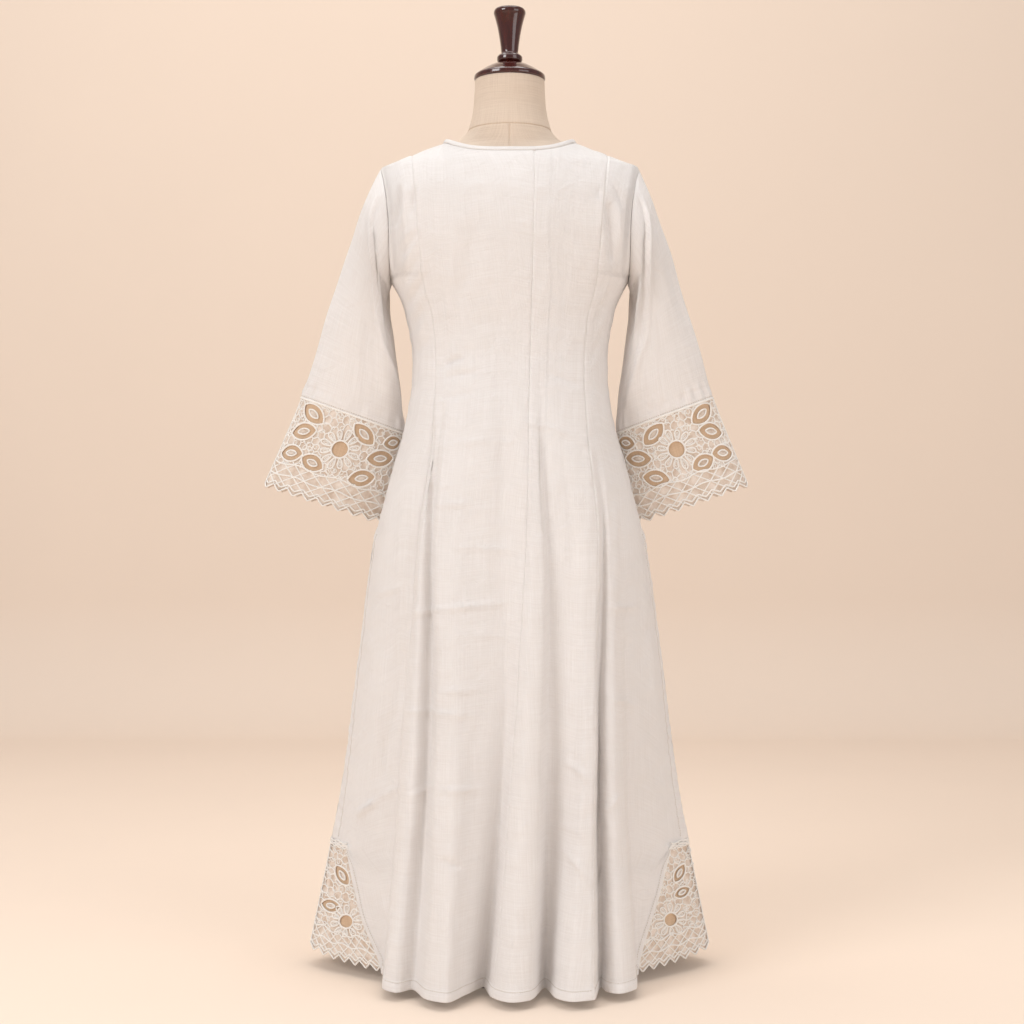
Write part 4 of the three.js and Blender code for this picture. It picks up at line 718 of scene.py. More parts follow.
def panelGrid(half, first, last):
    """Places of a panel's grid as (line, height), row by row from the hem to the shoulder or neckline."""
    columns, fineLeft, fineRight = panelColumns(half, first, last)
    cornerTop, hem, armpit = cut["cornerTopZ"], cut["hemZ"], cut["armpitZ"]
    low = np.array(panelShape["fineUp"])
    low = np.concatenate([low, np.arange(low[-1] + 3.2, cornerTop - hem - 16, panelShape["rowStep"]),
                          cornerTop - hem - np.array([13, 9, 6, 3.5, 1.5, 0])])
    middle = np.arange(cornerTop + 0.6, armpit - 2, panelShape["rowStep"])
    upper = np.sin(np.pi / 2 * np.linspace(0, 1, panelShape["upperRows"]))
    left, right = footLines[half["side"]]
    end = half["last"]
    ends = (fineLeft, fineRight)
    topRow = evenRow(half, columns, columns * 0 + cornerTop, *ends)
    rowsOfU, rowsOfZ = [], []
    for rise in low:
        share = rise / (cornerTop - hem)
        z, drop = hem + rise, cornerTop - hem - rise
        u = topRow
        for isLeft, foot in ((True, left), (False, end - right)):
            reach = half["cornerEdge"](z, isLeft)
            kept = half["cornerEdge"](cornerTop, isLeft) + panelShape["cornerEase"]
            bound = reach + panelShape["cornerEase"] * share
            away = u if isLeft else end - u
            near = lerp(reach, bound, away / kept)
            beyond = lerp(bound, foot, (away - kept) / (foot - kept))
            away = np.where(away < kept, near, np.where(away < foot, beyond, away))
            u = away if isLeft else end - away
        heights = lerp(half["hemAt"](u), cornerTop, share)
        u = lerp(u, evenRow(half, u, heights, *ends), smoothStep(0, panelShape["spreadHeight"], drop))
        rowsOfU.append(u)
        rowsOfZ.append(lerp(half["hemAt"](u), cornerTop, share))
    tops = half["topAt"](columns)
    heights = [columns * 0 + z for z in middle] + [lerp(armpit, tops, share) for share in upper]
    for z in heights:
        pastSlit = smoothStep(cut["slitTopZ"] - 10, cut["slitTopZ"] + 110, z.mean())
        narrow = 1 - panelShape["narrower"] * pastSlit
        sizes = (fineLeft * (narrow if first == 0 else 1), fineRight * (narrow if last == end else 1))
        share = smoothStep(armpit + 90, armpit - 20, z.mean())
        rowsOfU.append(lerp(columns, evenRow(half, columns, z, *sizes), share))
        rowsOfZ.append(z)
    return np.stack(rowsOfU), np.stack(rowsOfZ), len(low)


def surfaceNormals(half, u, z):
    """Across the surface by up the surface, from places a little to each side."""
    step, rise = 0.004, 0.4
    pointAt = half["pointAt"]
    across = pointAt(np.minimum(u + step, half["last"]), z) - pointAt(np.maximum(u - step, 0), z)
    up = pointAt(u, z + rise) - pointAt(u, z - rise)
    return unit(np.cross(across, up)) * (1 if half["side"] == "back" else -1)


def bandHeight(distance, width):
    """A turned edge: thicker up to its row of stitches, which lies in a small groove."""
    raised = cut["bandThickness"] * (1 - smoothStep(width - 0.4, width + 1.2, distance))
    return raised - 0.9 * np.exp(-(((distance - width + 1.2) / 1.2) ** 2))


def seamHeight(distance, along, seed):
    """A plain seam: the cloth dips into it, and puckers beside it."""
    dip = -0.9 * np.exp(-((distance / 1.7) ** 2))
    pucker = softNoise(along, along * 0, 15, seed) * np.exp(-distance / 11) * smoothStep(0, 3, distance)
    return dip + panelShape["seamPucker"] * pucker


sheetSizes = {}  # by sheet: width and length in millimetres, area in square metres


def clothWall(name, outer, normals, thickness, material, uv, isRing=False):
    """A closed wall of two grids. Its flat size is the longest row and the longest column."""
    inner = outer - normals * np.asarray(thickness)[..., None]
    layers = []
    for layer in (outer, inner):
        if not isRing:
            layer = pullIn(layer, cut["seamGap"] / 6, 1)
        layers.append(pullIn(layer, cut["seamGap"] / 6, 0))
    rows, columns = outer.shape[:2]
    points = np.concatenate([layer.reshape(-1, 3) for layer in layers])
    quads = facesOutward(points, wallFaces(rows, columns, isRing))
    flat = uv.reshape(-1, 2)
    piece = makeMesh(name, points, [quads], material, np.concatenate([flat, flat]))
    across = np.linalg.norm(np.diff(outer, axis=1), axis=-1)
    up = np.linalg.norm(np.diff(outer, axis=0), axis=-1)
    a, b = outer[1:, 1:] - outer[:-1, :-1], outer[1:, :-1] - outer[:-1, 1:]
    area = np.linalg.norm(np.cross(a, b), axis=-1).sum() / 2 * 1e-6
    ring = 0
    if isRing:
        ring = np.linalg.norm(outer[:, -1] - outer[:, 0], axis=-1)
        a, b = outer[1:, 0] - outer[:-1, -1], outer[1:, -1] - outer[:-1, 0]
        area += np.linalg.norm(np.cross(a, b), axis=-1).sum() / 2 * 1e-6
    sheetSizes[name] = ((across.sum(axis=1) + ring).max(), up.sum(axis=0).max(), area)
    return piece


def makePanel(half, index, name):
    """A panel's surface, moved out along its normals by creases, ripples, bands, seams and puckers."""
    first, last = half["seams"][index], half["seams"][index + 1]
    u, z, lowRows = panelGrid(half, float(first), float(last))
    base = half["pointAt"](u, z)
    facing = 1 if half["side"] == "back" else -1
    normals = surfaceNormals(half, u, z)
    left, right, bottom, top = edgeDistances(base)
    x = base[..., 0]
    side = 1 if facing > 0 else 2
    creases = backCreases if half["side"] == "back" else frontCreases
    height = creaseHeight(creases, x, z)
    height += panelShape["broadRipple"] * softNoise(x, z * 0.55, 110, 3 + side) * smoothStep(20, 260, z)
    height += panelShape["ripple"] * softNoise(x * 1.4, z, 34, 7 + side) * 0.6
    lower = z < cut["cornerTopZ"] + 0.3
    slitEdges = []
    if first == 0:
        slitEdges.append(left)
    if last == half["last"]:
        slitEdges.append(right)
    fade = smoothStep(cut["slitTopZ"] + 6, cut["slitTopZ"] - 6, z)
    extra = np.zeros_like(height)
    for distance in slitEdges:
        width = np.where(lower, cut["cornerBand"], cut["slitBand"])
        band = bandHeight(distance, width) * np.where(lower, 1, fade)
        onBand = np.exp(-(((distance - width * 0.6) / (width / 2)) ** 2))
        pull = softNoise(z + 0.5 * distance, z * 0, 10, 11) * onBand
        extra += band + panelShape["slitPucker"] * pull * fade * ~lower
        extra += np.where(lower, 0, (1 - fade)) * seamHeight(distance, z, 21) * (z < cut["armpitZ"])
    for distance, isSlit in ((left, first == 0), (right, last == half["last"])):
        if not isSlit:
            extra += seamHeight(distance, z, 31 + int(first))
        else:
            above = smoothStep(cut["armpitZ"], cut["armpitZ"] + 30, z)
            extra += panelShape["armholeSeam"] * seamHeight(distance, z, 41) * above
    extra += bandHeight(bottom, cut["hemBand"])
    onHem = np.exp(-(((bottom - 16) / 14) ** 2))
    extra += panelShape["hemPucker"] * softNoise(x, x * 0, 17, 51) * onHem
    extra += seamHeight(top, x, 61) * panelShape["topSeam"]
    height = height * smoothStep(0, 10, top) + extra
    outer = base + normals * height[..., None]
    shown = normals.copy()
    isRidge = np.zeros(z.shape, dtype=bool)
    if first == 0:
        isRidge[:, 0] = z[:, 0] <= cut["armpitZ"]
    if last == half["last"]:
        isRidge[:, -1] = z[:, -1] <= cut["armpitZ"]
    isRidge[-1] |= np.abs(x[-1]) >= cut["neckHalfWidth"]
    shown[..., 1] = np.where(isRidge, 0, shown[..., 1])
    shown = unit(shown)
    uv = np.stack([left - left[:, left.shape[1] // 2][:, None], bottom], axis=-1)
    piece = clothWall(f"{name}_cloth", outer, shown, cut["clothThickness"] + 0 * z, cotton, uv)
    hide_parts(name)
    return {"outer": outer, "normals": shown, "left": left, "right": right,
            "bottom": bottom, "z": z, "lowRows": lowRows}


panels = {}
for half, names in (
    (back, ["back_side_left", "back_centre_left", "back_centre_right", "back_side_right"]),
    (front, ["front_side_left", "front_centre", "front_side_right"]),
):
    for index, name in enumerate(names):
        panels[name] = makePanel(half, index, name)
        print(f"panel {name} made")


# The sleeves, as rings from the armhole down to the cuff.
def ringAt(key, ring):
    """A measure of the sleeve at a ring, from the curve through its rings."""
    return smoothCurve(np.arange(9.0), sleeveRings[key], ring)


def sleevePoint(side, turn, ring):
    """An ellipse between the outer and the underarm edge, moved out by the long soft folds."""
    turn, ring = np.broadcast_arrays(np.asarray(turn, dtype=float), np.asarray(ring, dtype=float))
    angle = 2 * np.pi * turn
    outerX = lerp(sleeve["tipX"], ringAt("outerX", ring), sleeve[f"{side}Reach"])
    outerEdge = np.stack([outerX, 0 * ring, ringAt("outerZ", ring)], axis=-1)
    innerEdge = np.stack([ringAt("innerX", ring), 0 * ring, ringAt("innerZ", ring)], axis=-1)
    middle = (outerEdge + innerEdge) / 2
    radius = outerEdge - middle
    fold = 0 * ring
    for foldTurn, width, depth, begin, end in zip(*sleeveFolds.values()):
        way = np.clip((ring - begin) / (end - begin), 0, 1)
        fold = fold + depth * np.sin(np.pi * way) * np.exp(-(((turn - foldTurn) / width) ** 2))
    point = middle + radius * np.cos(angle)[..., None]
    point[..., 1] = ringAt("forward", ring) - ringAt("halfThickness", ring) * np.sin(angle)
    outward = unit(radius) * np.cos(angle)[..., None]
    outward[..., 1] = -np.sin(angle)
    point = point + outward * fold[..., None]
    point[..., 0] *= sleeve[side]
    return point


def sleeveNormal(side, turn, ring):
    """Around the sleeve crossed with down it, from places a little to each side."""
    around = sleevePoint(side, turn + 0.004, ring) - sleevePoint(side, turn - 0.004, ring)
    below, above = np.minimum(ring + 0.04, sleeve["endRing"]), np.maximum(ring - 0.04, 0)
    down = sleevePoint(side, turn, below) - sleevePoint(side, turn, above)
    return unit(np.cross(around, down)) * sleeve[side]


def armholePoints(side, turns):
    """The armhole's edge on the two halves of the body, at the sleeve's turns."""
    share = (1 + np.cos(2 * np.pi * turns)) / 2
    sides = []
    for half in (back, front):
        edge = np.full(turns.shape, 0.0 if side == "left" else float(half["last"]))
        z = lerp(cut["armpitZ"], half["topAt"](edge), share)
        sides.append(half["pointAt"](edge, z))
    return np.where((turns <= 0.5)[:, None], sides[0], sides[1])


def makeSleeve(side):
    """Blends from the armhole into the rings, then adds creases, the tucked fold, gathers and seams."""
    turns = np.arange(sleeve["columns"]) / sleeve["columns"]
    head = np.array([0, 0.03, 0.07, 0.12, 0.18, 0.25])
    foot = sleeve["seamRing"] - np.array([0.24, 0.19, 0.15, 0.11, 0.07, 0.035, 0])
    rings = np.concatenate([head, np.arange(0.33, foot[0] - 0.03, sleeve["ringStep"]), foot])
    turn, ring = np.meshgrid(turns, rings)
    base = sleevePoint(side, turn, ring)
    away = 1 - (1 - np.clip(ring / sleeve["headRings"], 0, 1)) ** 2
    base = lerp(armholePoints(side, turns)[None], base, away[..., None])
    normals = gridNormals(base, True)
    outwards = np.sign(np.einsum("ijk,ijk->ij", normals, base - base.mean(axis=1, keepdims=True)).mean())
    normals = normals * outwards
    _, _, fromHead, fromFoot = edgeDistances(base)
    across, down = turn * sleeve["turnScale"], ring * sleeve["ringScale"]
    creases = dict(sleeveCreases)
    if side == "right":
        creases["turn0"] = creases["turn0"] + 0.012
        creases["height"] = creases["height"] * 0.9
    scaled = {key: creases[key] * scale for key, scale in (
        ("turn0", sleeve["turnScale"]), ("ring0", sleeve["ringScale"]), ("turn1", sleeve["turnScale"]),
        ("ring1", sleeve["ringScale"]), ("bow", 1), ("width", 1), ("height", 1))}
    height = creaseHeight(scaled, across, down)
    height += sleeve["ripple"] * softNoise(np.cos(2 * np.pi * turn) * 60, down * 0.6, 80, 70 + sleeve[side])
    height *= smoothStep(0, 18, fromHead)
    height += panelShape["armholeSeam"] * seamHeight(fromHead, across, 75)
    edgeTurn = np.interp(ring, tuck["ring"], tuck[f"{side}Turn"]) * sleeve["turnScale"]
    past = across - edgeTurn - tuck["wander"] * softNoise(down, down * 0, 70, 77)
    deep = np.interp(ring, tuck["ring"], tuck["depth"]) * smoothStep(0, tuck["fade"], fromHead)
    under = smoothStep(0, tuck["width"], past)
    under *= 1 - smoothStep(tuck["endTurn"] - 0.1, tuck["endTurn"], turn)
    height -= deep * under
    height += 0.25 * deep * np.exp(-(((past + 3) / 4) ** 2))
    gathers = softNoise(across, across * 0, 11, 80 + sleeve[side])
    height += sleeve["gathers"] * gathers * np.exp(-(((fromFoot - 12) / 11) ** 2))
    height += 0.6 * (1 - smoothStep(11, 13, fromFoot)) * smoothStep(0, 2, fromFoot)
    outer = base + normals * height[..., None]
    shown = gridNormals(outer, True) * outwards
    uv = np.stack([across, -down], axis=-1)
    name = f"sleeve_{side}"
    piece = clothWall(f"{name}_cloth", outer, shown, cut["clothThickness"] + 0 * ring, cotton, uv, True)
    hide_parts(name)
    return {"outer": outer, "normals": shown, "fromFoot": fromFoot}


sleevePieces = {side: makeSleeve(side) for side in ("left", "right")}
print("sleeves made")


# The lace of the cuffs and corners: sizes in millimetres, and counts and shares without a unit.
lace = {
    "cuffHeight": 142, "toothDepth": 9, "cuffTeeth": 9, "cornerTeeth": 7, "thickness": 0.7,
    "ringRadius": 1.5, "cordRadius": 1.3, "groundRadius": 1.1, "thinRadius": 0.7, "cordSides": 5,
    "groundStep": 11.0, "sheetStep": 6.0, "petalReach": 1.3, "almondPoint": 0.5, "longer": 7.0, "wider": 5.0,
    "tackCords": 5, "pipingRadius": 1.5, "islandLength": 0.46, "islandWidth": 0.36,
    "liningThickness": 0.8, "liningDepth": 1.5, "liningCrumple": 0.25,
    # how far the sheet and each kind of cord stand out from the face
    "sheetLift": -0.25, "cordLift": 0.3, "thinLift": 0.1, "groundLift": 0.2, "tackLift": 1.4,
    # how far down the crossing cords above the teeth begin
    "cuffBandDown": 0.7, "cornerBandDown": 0.76,
}
# Each motif: its kind, shares across and down the face, turn in degrees, length and width.
cuffMotifs = [
    ("flower", 0.495, 0.395, 8, 25, 25), ("almond", 0.215, 0.13, 25, 36, 21),
    ("almond", 0.185, 0.335, -21, 33, 20), ("almond", 0.15, 0.585, -12, 30, 19),
    ("almond", 0.33, 0.615, 11, 30, 19), ("almond", 0.64, 0.165, 31, 35, 20),
    ("almond", 0.88, 0.15, -26, 24, 17), ("almond", 0.805, 0.355, -19, 34, 20),
    ("almond", 0.705, 0.61, -24, 33, 20),
]
cornerMotifs = {
    "left": [("almond", 0.64, 0.27, 45, 34, 19), ("almond", 0.3, 0.56, -12, 31, 19),
             ("flower", 0.63, 0.65, 10, 20, 20)],
    "right": [("almond", 0.485, 0.26, 49, 30, 16), ("almond", 0.4, 0.43, 10, 26, 16),
              ("flower", 0.61, 0.63, 10, 20, 20)],
}


def cuffFace(side, part):
    """Where a place on the cuff's face is, in shares across and down, and which way it looks."""
    def turnOf(across):
        """Half the share across, counted from the other end on the front."""
        return across / 2 if part == "back" else 1 - across / 2

    def ringOf(down):
        """The ring at a share of the way from the cuff's seam to its end."""
        return lerp(sleeve["seamRing"], sleeve["endRing"], down)

    steps = np.linspace(0, 1, 97)
    line = sleevePoint(side, turnOf(steps), ringOf(0.5))
    along = np.concatenate([[0], np.cumsum(np.linalg.norm(np.diff(line, axis=0), axis=-1))])

    def place(across, down):
        """The sleeve's surface, at even distances across the cuff."""
        return sleevePoint(side, turnOf(np.interp(across, along / along[-1], steps)), ringOf(down))

    def normal(across, down):
        """The sleeve's outward direction there."""
        return sleeveNormal(side, turnOf(np.interp(across, along / along[-1], steps)), ringOf(down))

    return place, normal


def cornerFace(half, isLeft):
    """The same for a lace corner, from the slit's edge to the slanted edge of the cloth."""
    def spot(across, down):
        """The place between the lines and the height, from shares of the corner's reach and height."""
        height = lerp(cut["cornerTopZ"] - cut["seamGap"], cut["hemZ"], down)
        reach = half["cornerEdge"](height, isLeft) * across
        u = reach if isLeft else half["last"] - reach
        share = (height - cut["hemZ"]) / (cut["cornerTopZ"] - cut["hemZ"])
        return u, lerp(half["hemAt"](u), cut["cornerTopZ"], share)

    def place(across, down):
        """The half's surface at shares across and down."""
        across, down = np.broadcast_arrays(np.asarray(across, dtype=float), np.asarray(down, dtype=float))
        u, z = spot(across, down)
        return half["pointAt"](u, z)

    def normal(across, down):
        """Across the face crossed with down it, turned to look outward."""
        step = 0.004
        wide = place(across + step, down) - place(np.maximum(across - step, 0), down)
        tall = place(across, np.minimum(down + step, 1)) - place(across, np.maximum(down - step, 0))
        found = unit(np.cross(wide, tall))
        facing = -1 if half["side"] == "back" else 1
        return found * np.where(found[..., 1:2] * facing < 0, -1, 1)

    return place, normal


def tubeMesh(paths, normals, radius, sides, isClosed):
    """Round cords along many paths at once: a ring of points about each path point."""
    if isClosed:
        along = np.roll(paths, -1, axis=1) - np.roll(paths, 1, axis=1)
    else:
        along = np.gradient(paths, axis=1)
    along = unit(along)
    aside = unit(np.cross(along, normals))
    up = np.cross(aside, along)
    angles = 2 * np.pi * np.arange(sides) / sides
    count, length = paths.shape[:2]
    reach = np.broadcast_to(np.asarray(radius, dtype=float), (count, length))
    ring = (paths[:, :, None] + reach[:, :, None, None] * (
        np.cos(angles)[None, None, :, None] * aside[:, :, None] +
        np.sin(angles)[None, None, :, None] * up[:, :, None]))
    steps = length if isClosed else length - 1
    path, step, sideIndex = np.meshgrid(np.arange(count), np.arange(steps), np.arange(sides), indexing="ij")
    following = (step + 1) % length
    turned = (sideIndex + 1) % sides
    base = path * length
    quads = np.stack([(base + step) * sides + sideIndex, (base + step) * sides + turned,
                      (base + following) * sides + turned, (base + following) * sides + sideIndex], axis=-1)
    parts = [quads.reshape(-1, 4)]
    if not isClosed:
        ends = np.arange(count)[:, None] * length * sides + np.arange(sides)[::-1][None]
        parts.append(ends)
        parts.append(ends[:, ::-1] + (length - 1) * sides)
    return ring.reshape(-1, 3), parts


def motifPath(kind, length, width, turn, centre, count=24):
    """The outline of an almond, a round or a petal about its middle, turned and moved."""
    angle = 2 * np.pi * np.arange(count) / count
    x, y = np.cos(angle), np.sin(angle)
    if kind == "almond":
        y = y * np.abs(y) ** lace["almondPoint"]
    if kind == "petal":
        y = y * (0.72 + 0.28 * x)
    x, y = x * length / 2, y * width / 2
    cos, sin = np.cos(np.radians(turn)), np.sin(np.radians(turn))
    return np.stack([x * cos - y * sin, x * sin + y * cos], axis=-1) + np.asarray(centre)


def inMotif(points, motif, centre, grow):
    """Whether points lie in a motif grown by a distance."""
    kind, _, _, turn, length, width = motif
    offset = points - np.asarray(centre)
    cos, sin = np.cos(np.radians(turn)), np.sin(np.radians(turn))
    x, y = offset[..., 0] * cos + offset[..., 1] * sin, offset[..., 1] * cos - offset[..., 0] * sin
    longer = length / 2 + grow
    wider = width / 2 + grow
    if kind == "almond":
        share = np.clip(np.abs(x) / longer, 0, 1)
        return np.abs(y) < wider * (1 - share ** 2) ** ((1 + lace["almondPoint"]) / 2)
    return x ** 2 / longer ** 2 + y ** 2 / wider ** 2 < 1


def groundEdges(widthAt, heightMm, step, seed):
    """Cells of the ground: edges between neighbouring cells of scattered points."""
    chance = np.random.default_rng(seed)
    widest = widthAt(np.array([0.0, 1.0])).max()
    evenX, evenY = np.arange(-step, widest + 2 * step, step), np.arange(-step, heightMm + 2 * step, step)
    xs, ys = np.meshgrid(evenX, evenY)
    xs[::2] += step / 2
    spots = np.stack([xs, ys], axis=-1).reshape(-1, 2) + chance.uniform(-0.3, 0.3, (xs.size, 2)) * step
    result = delaunay_2d_cdt([Vector(spot) for spot in spots.tolist()], [], [], 0, 1e-6)
    nodes, triangles = np.array([tuple(v) for v in result[0]]), np.array(result[2])
    a, b, c = (nodes[triangles[:, i]] for i in range(3))
    centres = (a + b + c) / 3
    sides = np.concatenate([triangles[:, pair] for pair in ([0, 1], [1, 2], [2, 0])])
    sides = np.sort(sides, axis=1)
    owner = np.tile(np.arange(len(triangles)), 3)
    order = np.lexsort((sides[:, 1], sides[:, 0]))
    sides, owner = sides[order], owner[order]
    same = np.all(sides[1:] == sides[:-1], axis=1)
    return np.stack([centres[owner[:-1][same]], centres[owner[1:][same]]], axis=1)


def makeLace(node, face, heightMm, teeth, motifs, seed, bandDown, isCorner):
    """A sheet with gaps cut through it, and cords round its gaps, petals, cells, band and teeth."""
    place, normal = face
    motifs = [(kind, across, down, turn, length + (kind == "almond") * lace["longer"] * (not isCorner),
               width + (kind == "almond") * lace["wider"] * (not isCorner))
              for kind, across, down, turn, length, width in motifs]
    downs = np.linspace(0, 1, 9)
    acrossSteps = np.linspace(0, 1, 65)
    rowPoints = np.stack([place(acrossSteps, down) for down in downs])
    rowSteps = np.diff(rowPoints, axis=1)
    trueWidth = np.linalg.norm(rowSteps, axis=-1).sum(axis=1).max()
    if isCorner:
        rowSteps[..., 1] = 0
    rowSteps = np.linalg.norm(rowSteps, axis=-1)
    widths = rowSteps.sum(axis=1)
    sums = np.cumsum(rowSteps, axis=1)
    shares = np.concatenate([np.zeros((len(downs), 1)), sums], axis=1) / widths[:, None]
    evenShares = np.stack([np.interp(acrossSteps, row, acrossSteps) for row in shares])

    def widthAt(down):
        """The face's width at a share of the way down."""
        return np.interp(down, downs, widths)

    def onFace(flat, lift):
        """A flat place laid evenly across the face and lifted along its normal, and that normal."""
        down = flat[..., 1] / heightMm
        share = flat[..., 0] / widthAt(down)
        row, column = np.clip(down, 0, 0.9999) * 8, np.clip(share, 0, 0.9999) * 64
        i, j = row.astype(int), column.astype(int)
        low = lerp(evenShares[i, j], evenShares[i, j + 1], column - j)
        high = lerp(evenShares[i + 1, j], evenShares[i + 1, j + 1], column - j)
        across = lerp(low, high, row - i) + share - np.clip(share, 0, 1)
        return place(across, down) + normal(across, down) * lift, normal(across, down)

    def flatPlace(across, down):
        """Shares across and down, in millimetres on the flat face."""
        across, down = np.broadcast_arrays(np.asarray(across, dtype=float), np.asarray(down, dtype=float))
        return np.stack([across * widthAt(down), down * heightMm], axis=-1)

    toothDown = 1 - lace["toothDepth"] / heightMm
    toothAcross = np.arange(2 * teeth + 1) / (2 * teeth)
    toothLine = flatPlace(toothAcross, np.where(np.arange(2 * teeth + 1) % 2 == 0, toothDown, 1.0))
    rise = np.linspace(1, 0, 26)[1:-1]
    rightSide, leftSide = flatPlace(1, rise * toothDown), flatPlace(0, rise[::-1] * toothDown)
    topLine = flatPlace(np.linspace(1, 0, 24), 0.0)
    boundary = np.concatenate([toothLine, rightSide, topLine, leftSide])
    centres = [flatPlace(m[1], m[2]) for m in motifs]
    gaps, islands, cords, petalCords, thinCords = [], [], [], [], []
    for motif, centre in zip(motifs, centres):
        kind, _, _, turn, length, width = motif
        outline = motifPath(kind, length, width, turn, centre, 32)
        gaps.append(outline)
        cords.append(motifPath(kind, length + 1.2, width + 1.2, turn, centre))
        if kind == "almond":
            size = (length * lace["islandLength"], width * lace["islandWidth"])
            islands.append(motifPath(kind, *size, turn, centre, 14))
            petalCords.append(motifPath(kind, *size, turn, centre))
        else:
            reach = length / 2
            petals = 12 if length > 22 else 10
            for i in range(petals):
                away = 360 * i / petals + turn
                stretch = reach * (lace["petalReach"] + 0.14 * np.sin(2.1 * i + 1))
                middle = reach + 1.5 + stretch / 2
                spot = centre + middle * np.array([np.cos(np.radians(away)), np.sin(np.radians(away))])
                wide = 2 * np.pi * middle / petals * 0.84
                petalCords.append(motifPath("petal", stretch, wide, away, spot))
                thinCords.append(motifPath("petal", stretch * 0.5, wide * 0.42, away, spot))

    def keepClear(points, grow):
        """Whether places lie off the motifs, above the band and inside the face's edges."""
        clear = np.ones(points.shape[:-1], dtype=bool)
        for motif, centre in zip(motifs, centres):
            kind, across, down, turn, length, width = motif
            more = grow + (length * 0.5 * lace["petalReach"] if kind == "flower" else 0)
            clear &= ~inMotif(points, (kind, across, down, turn, length, width), centre, more)
        down = points[..., 1] / heightMm
        clear &= (down > 0.015) & (down < bandDown)
        return clear & (points[..., 0] > 0.5) & (points[..., 0] < widthAt(np.clip(down, 0, 1)) - 0.5)

    edges = groundEdges(widthAt, heightMm, lace["groundStep"], seed)
    keep = keepClear(edges, 0.2).sum(axis=1) >= 1
    edges = edges[keep]
    for end in range(2):
        outside = ~keepClear(edges[:, end], 0.4)
        halved = edges[outside]
        for _ in range(5):
            middle = halved.mean(axis=1)
            isClear = keepClear(middle, 0.4)
            halved[isClear, 1 - end] = middle[isClear]
            halved[~isClear, end] = middle[~isClear]
        edges[outside, end] = halved[:, end]
    ways = np.linspace(0, 1, 5)[None, :, None]
    ground = lerp(edges[:, :1], edges[:, 1:], ways)
    sag = np.random.default_rng(seed + 1).uniform(-1.4, 1.4, (len(edges), 1, 1))
    across = edges[:, 1] - edges[:, 0]
    aside = unit(np.stack([-across[:, 1], across[:, 0]], axis=-1))[:, None]
    ground = ground + sag * np.sin(np.pi * ways) * aside
    # the small rings inside some of the cells
    rings = []
    chance = np.random.default_rng(seed + 2)
    for spot in edges.mean(axis=1)[::3]:
        nearby = spot + chance.uniform(-4, 4, 2)
        if keepClear(nearby, 3.5):
            size = chance.uniform(3.2, 6.0)
            rings.append(motifPath("almond", size * 1.5, size, chance.uniform(0, 180), nearby, 12))
    # crossing cords above the teeth
    pitch = 2 / teeth
    band = []
    for i in range(-2, teeth + 3):
        for lean in (-1, 1):
            start = np.array([i / teeth, toothDown])
            end = np.array([i / teeth + lean * pitch, bandDown - 0.01])
            steps = lerp(start[None], end[None], np.linspace(0, 1, 9)[:, None])
            steps[:, 0] += 0.012 * np.sin(3 * i + 6 * steps[:, 1])
            steps[:, 0] = np.clip(steps[:, 0], 0.004, 0.996)
            if np.ptp(steps[:, 0]) > 0.01:
                band.append(flatPlace(steps[:, 0], steps[:, 1]))
    middleDown = lerp(bandDown, toothDown, 0.5)
    steps = np.linspace(0.003, 0.997, 9 * teeth)
    wander = 0.012 * np.sin(steps * 21 + seed)
    borders = [flatPlace(steps, middleDown + wander), flatPlace(steps, bandDown + wander * 1.3),
               flatPlace(steps, 0.012 + 0 * steps)]
    toothSteps = np.linspace(0, 2 * teeth, 9 * teeth)
    toothX = np.interp(toothSteps, np.arange(2 * teeth + 1), toothLine[:, 0])
    toothY = np.interp(toothSteps, np.arange(2 * teeth + 1), toothLine[:, 1]) - 0.9
    borders.append(np.stack([toothX, toothY], axis=-1))
    innerTooth = np.interp(toothSteps, np.arange(2 * teeth + 1),
                           toothLine[:, 1] - np.where(np.arange(2 * teeth + 1) % 2 == 0, 5.5, 7.5))
    borders.append(np.stack([toothX, innerTooth], axis=-1))
    sideDown = np.linspace(0.01, toothDown, 9 * teeth)
    tack = []
    for i in range(lace["tackCords"] * isCorner):
        steps = np.linspace(0.0, 1.12, 40)
        wave = 0.006 * np.sin(steps * (9 + 3 * i) + 2 * i)
        tack.append(flatPlace(steps, 0.011 * i - 0.014 + wave))
    borders.append(flatPlace(0.004 + 0 * sideDown, sideDown))
    borders.append(flatPlace(0.996 + 0 * sideDown, sideDown))

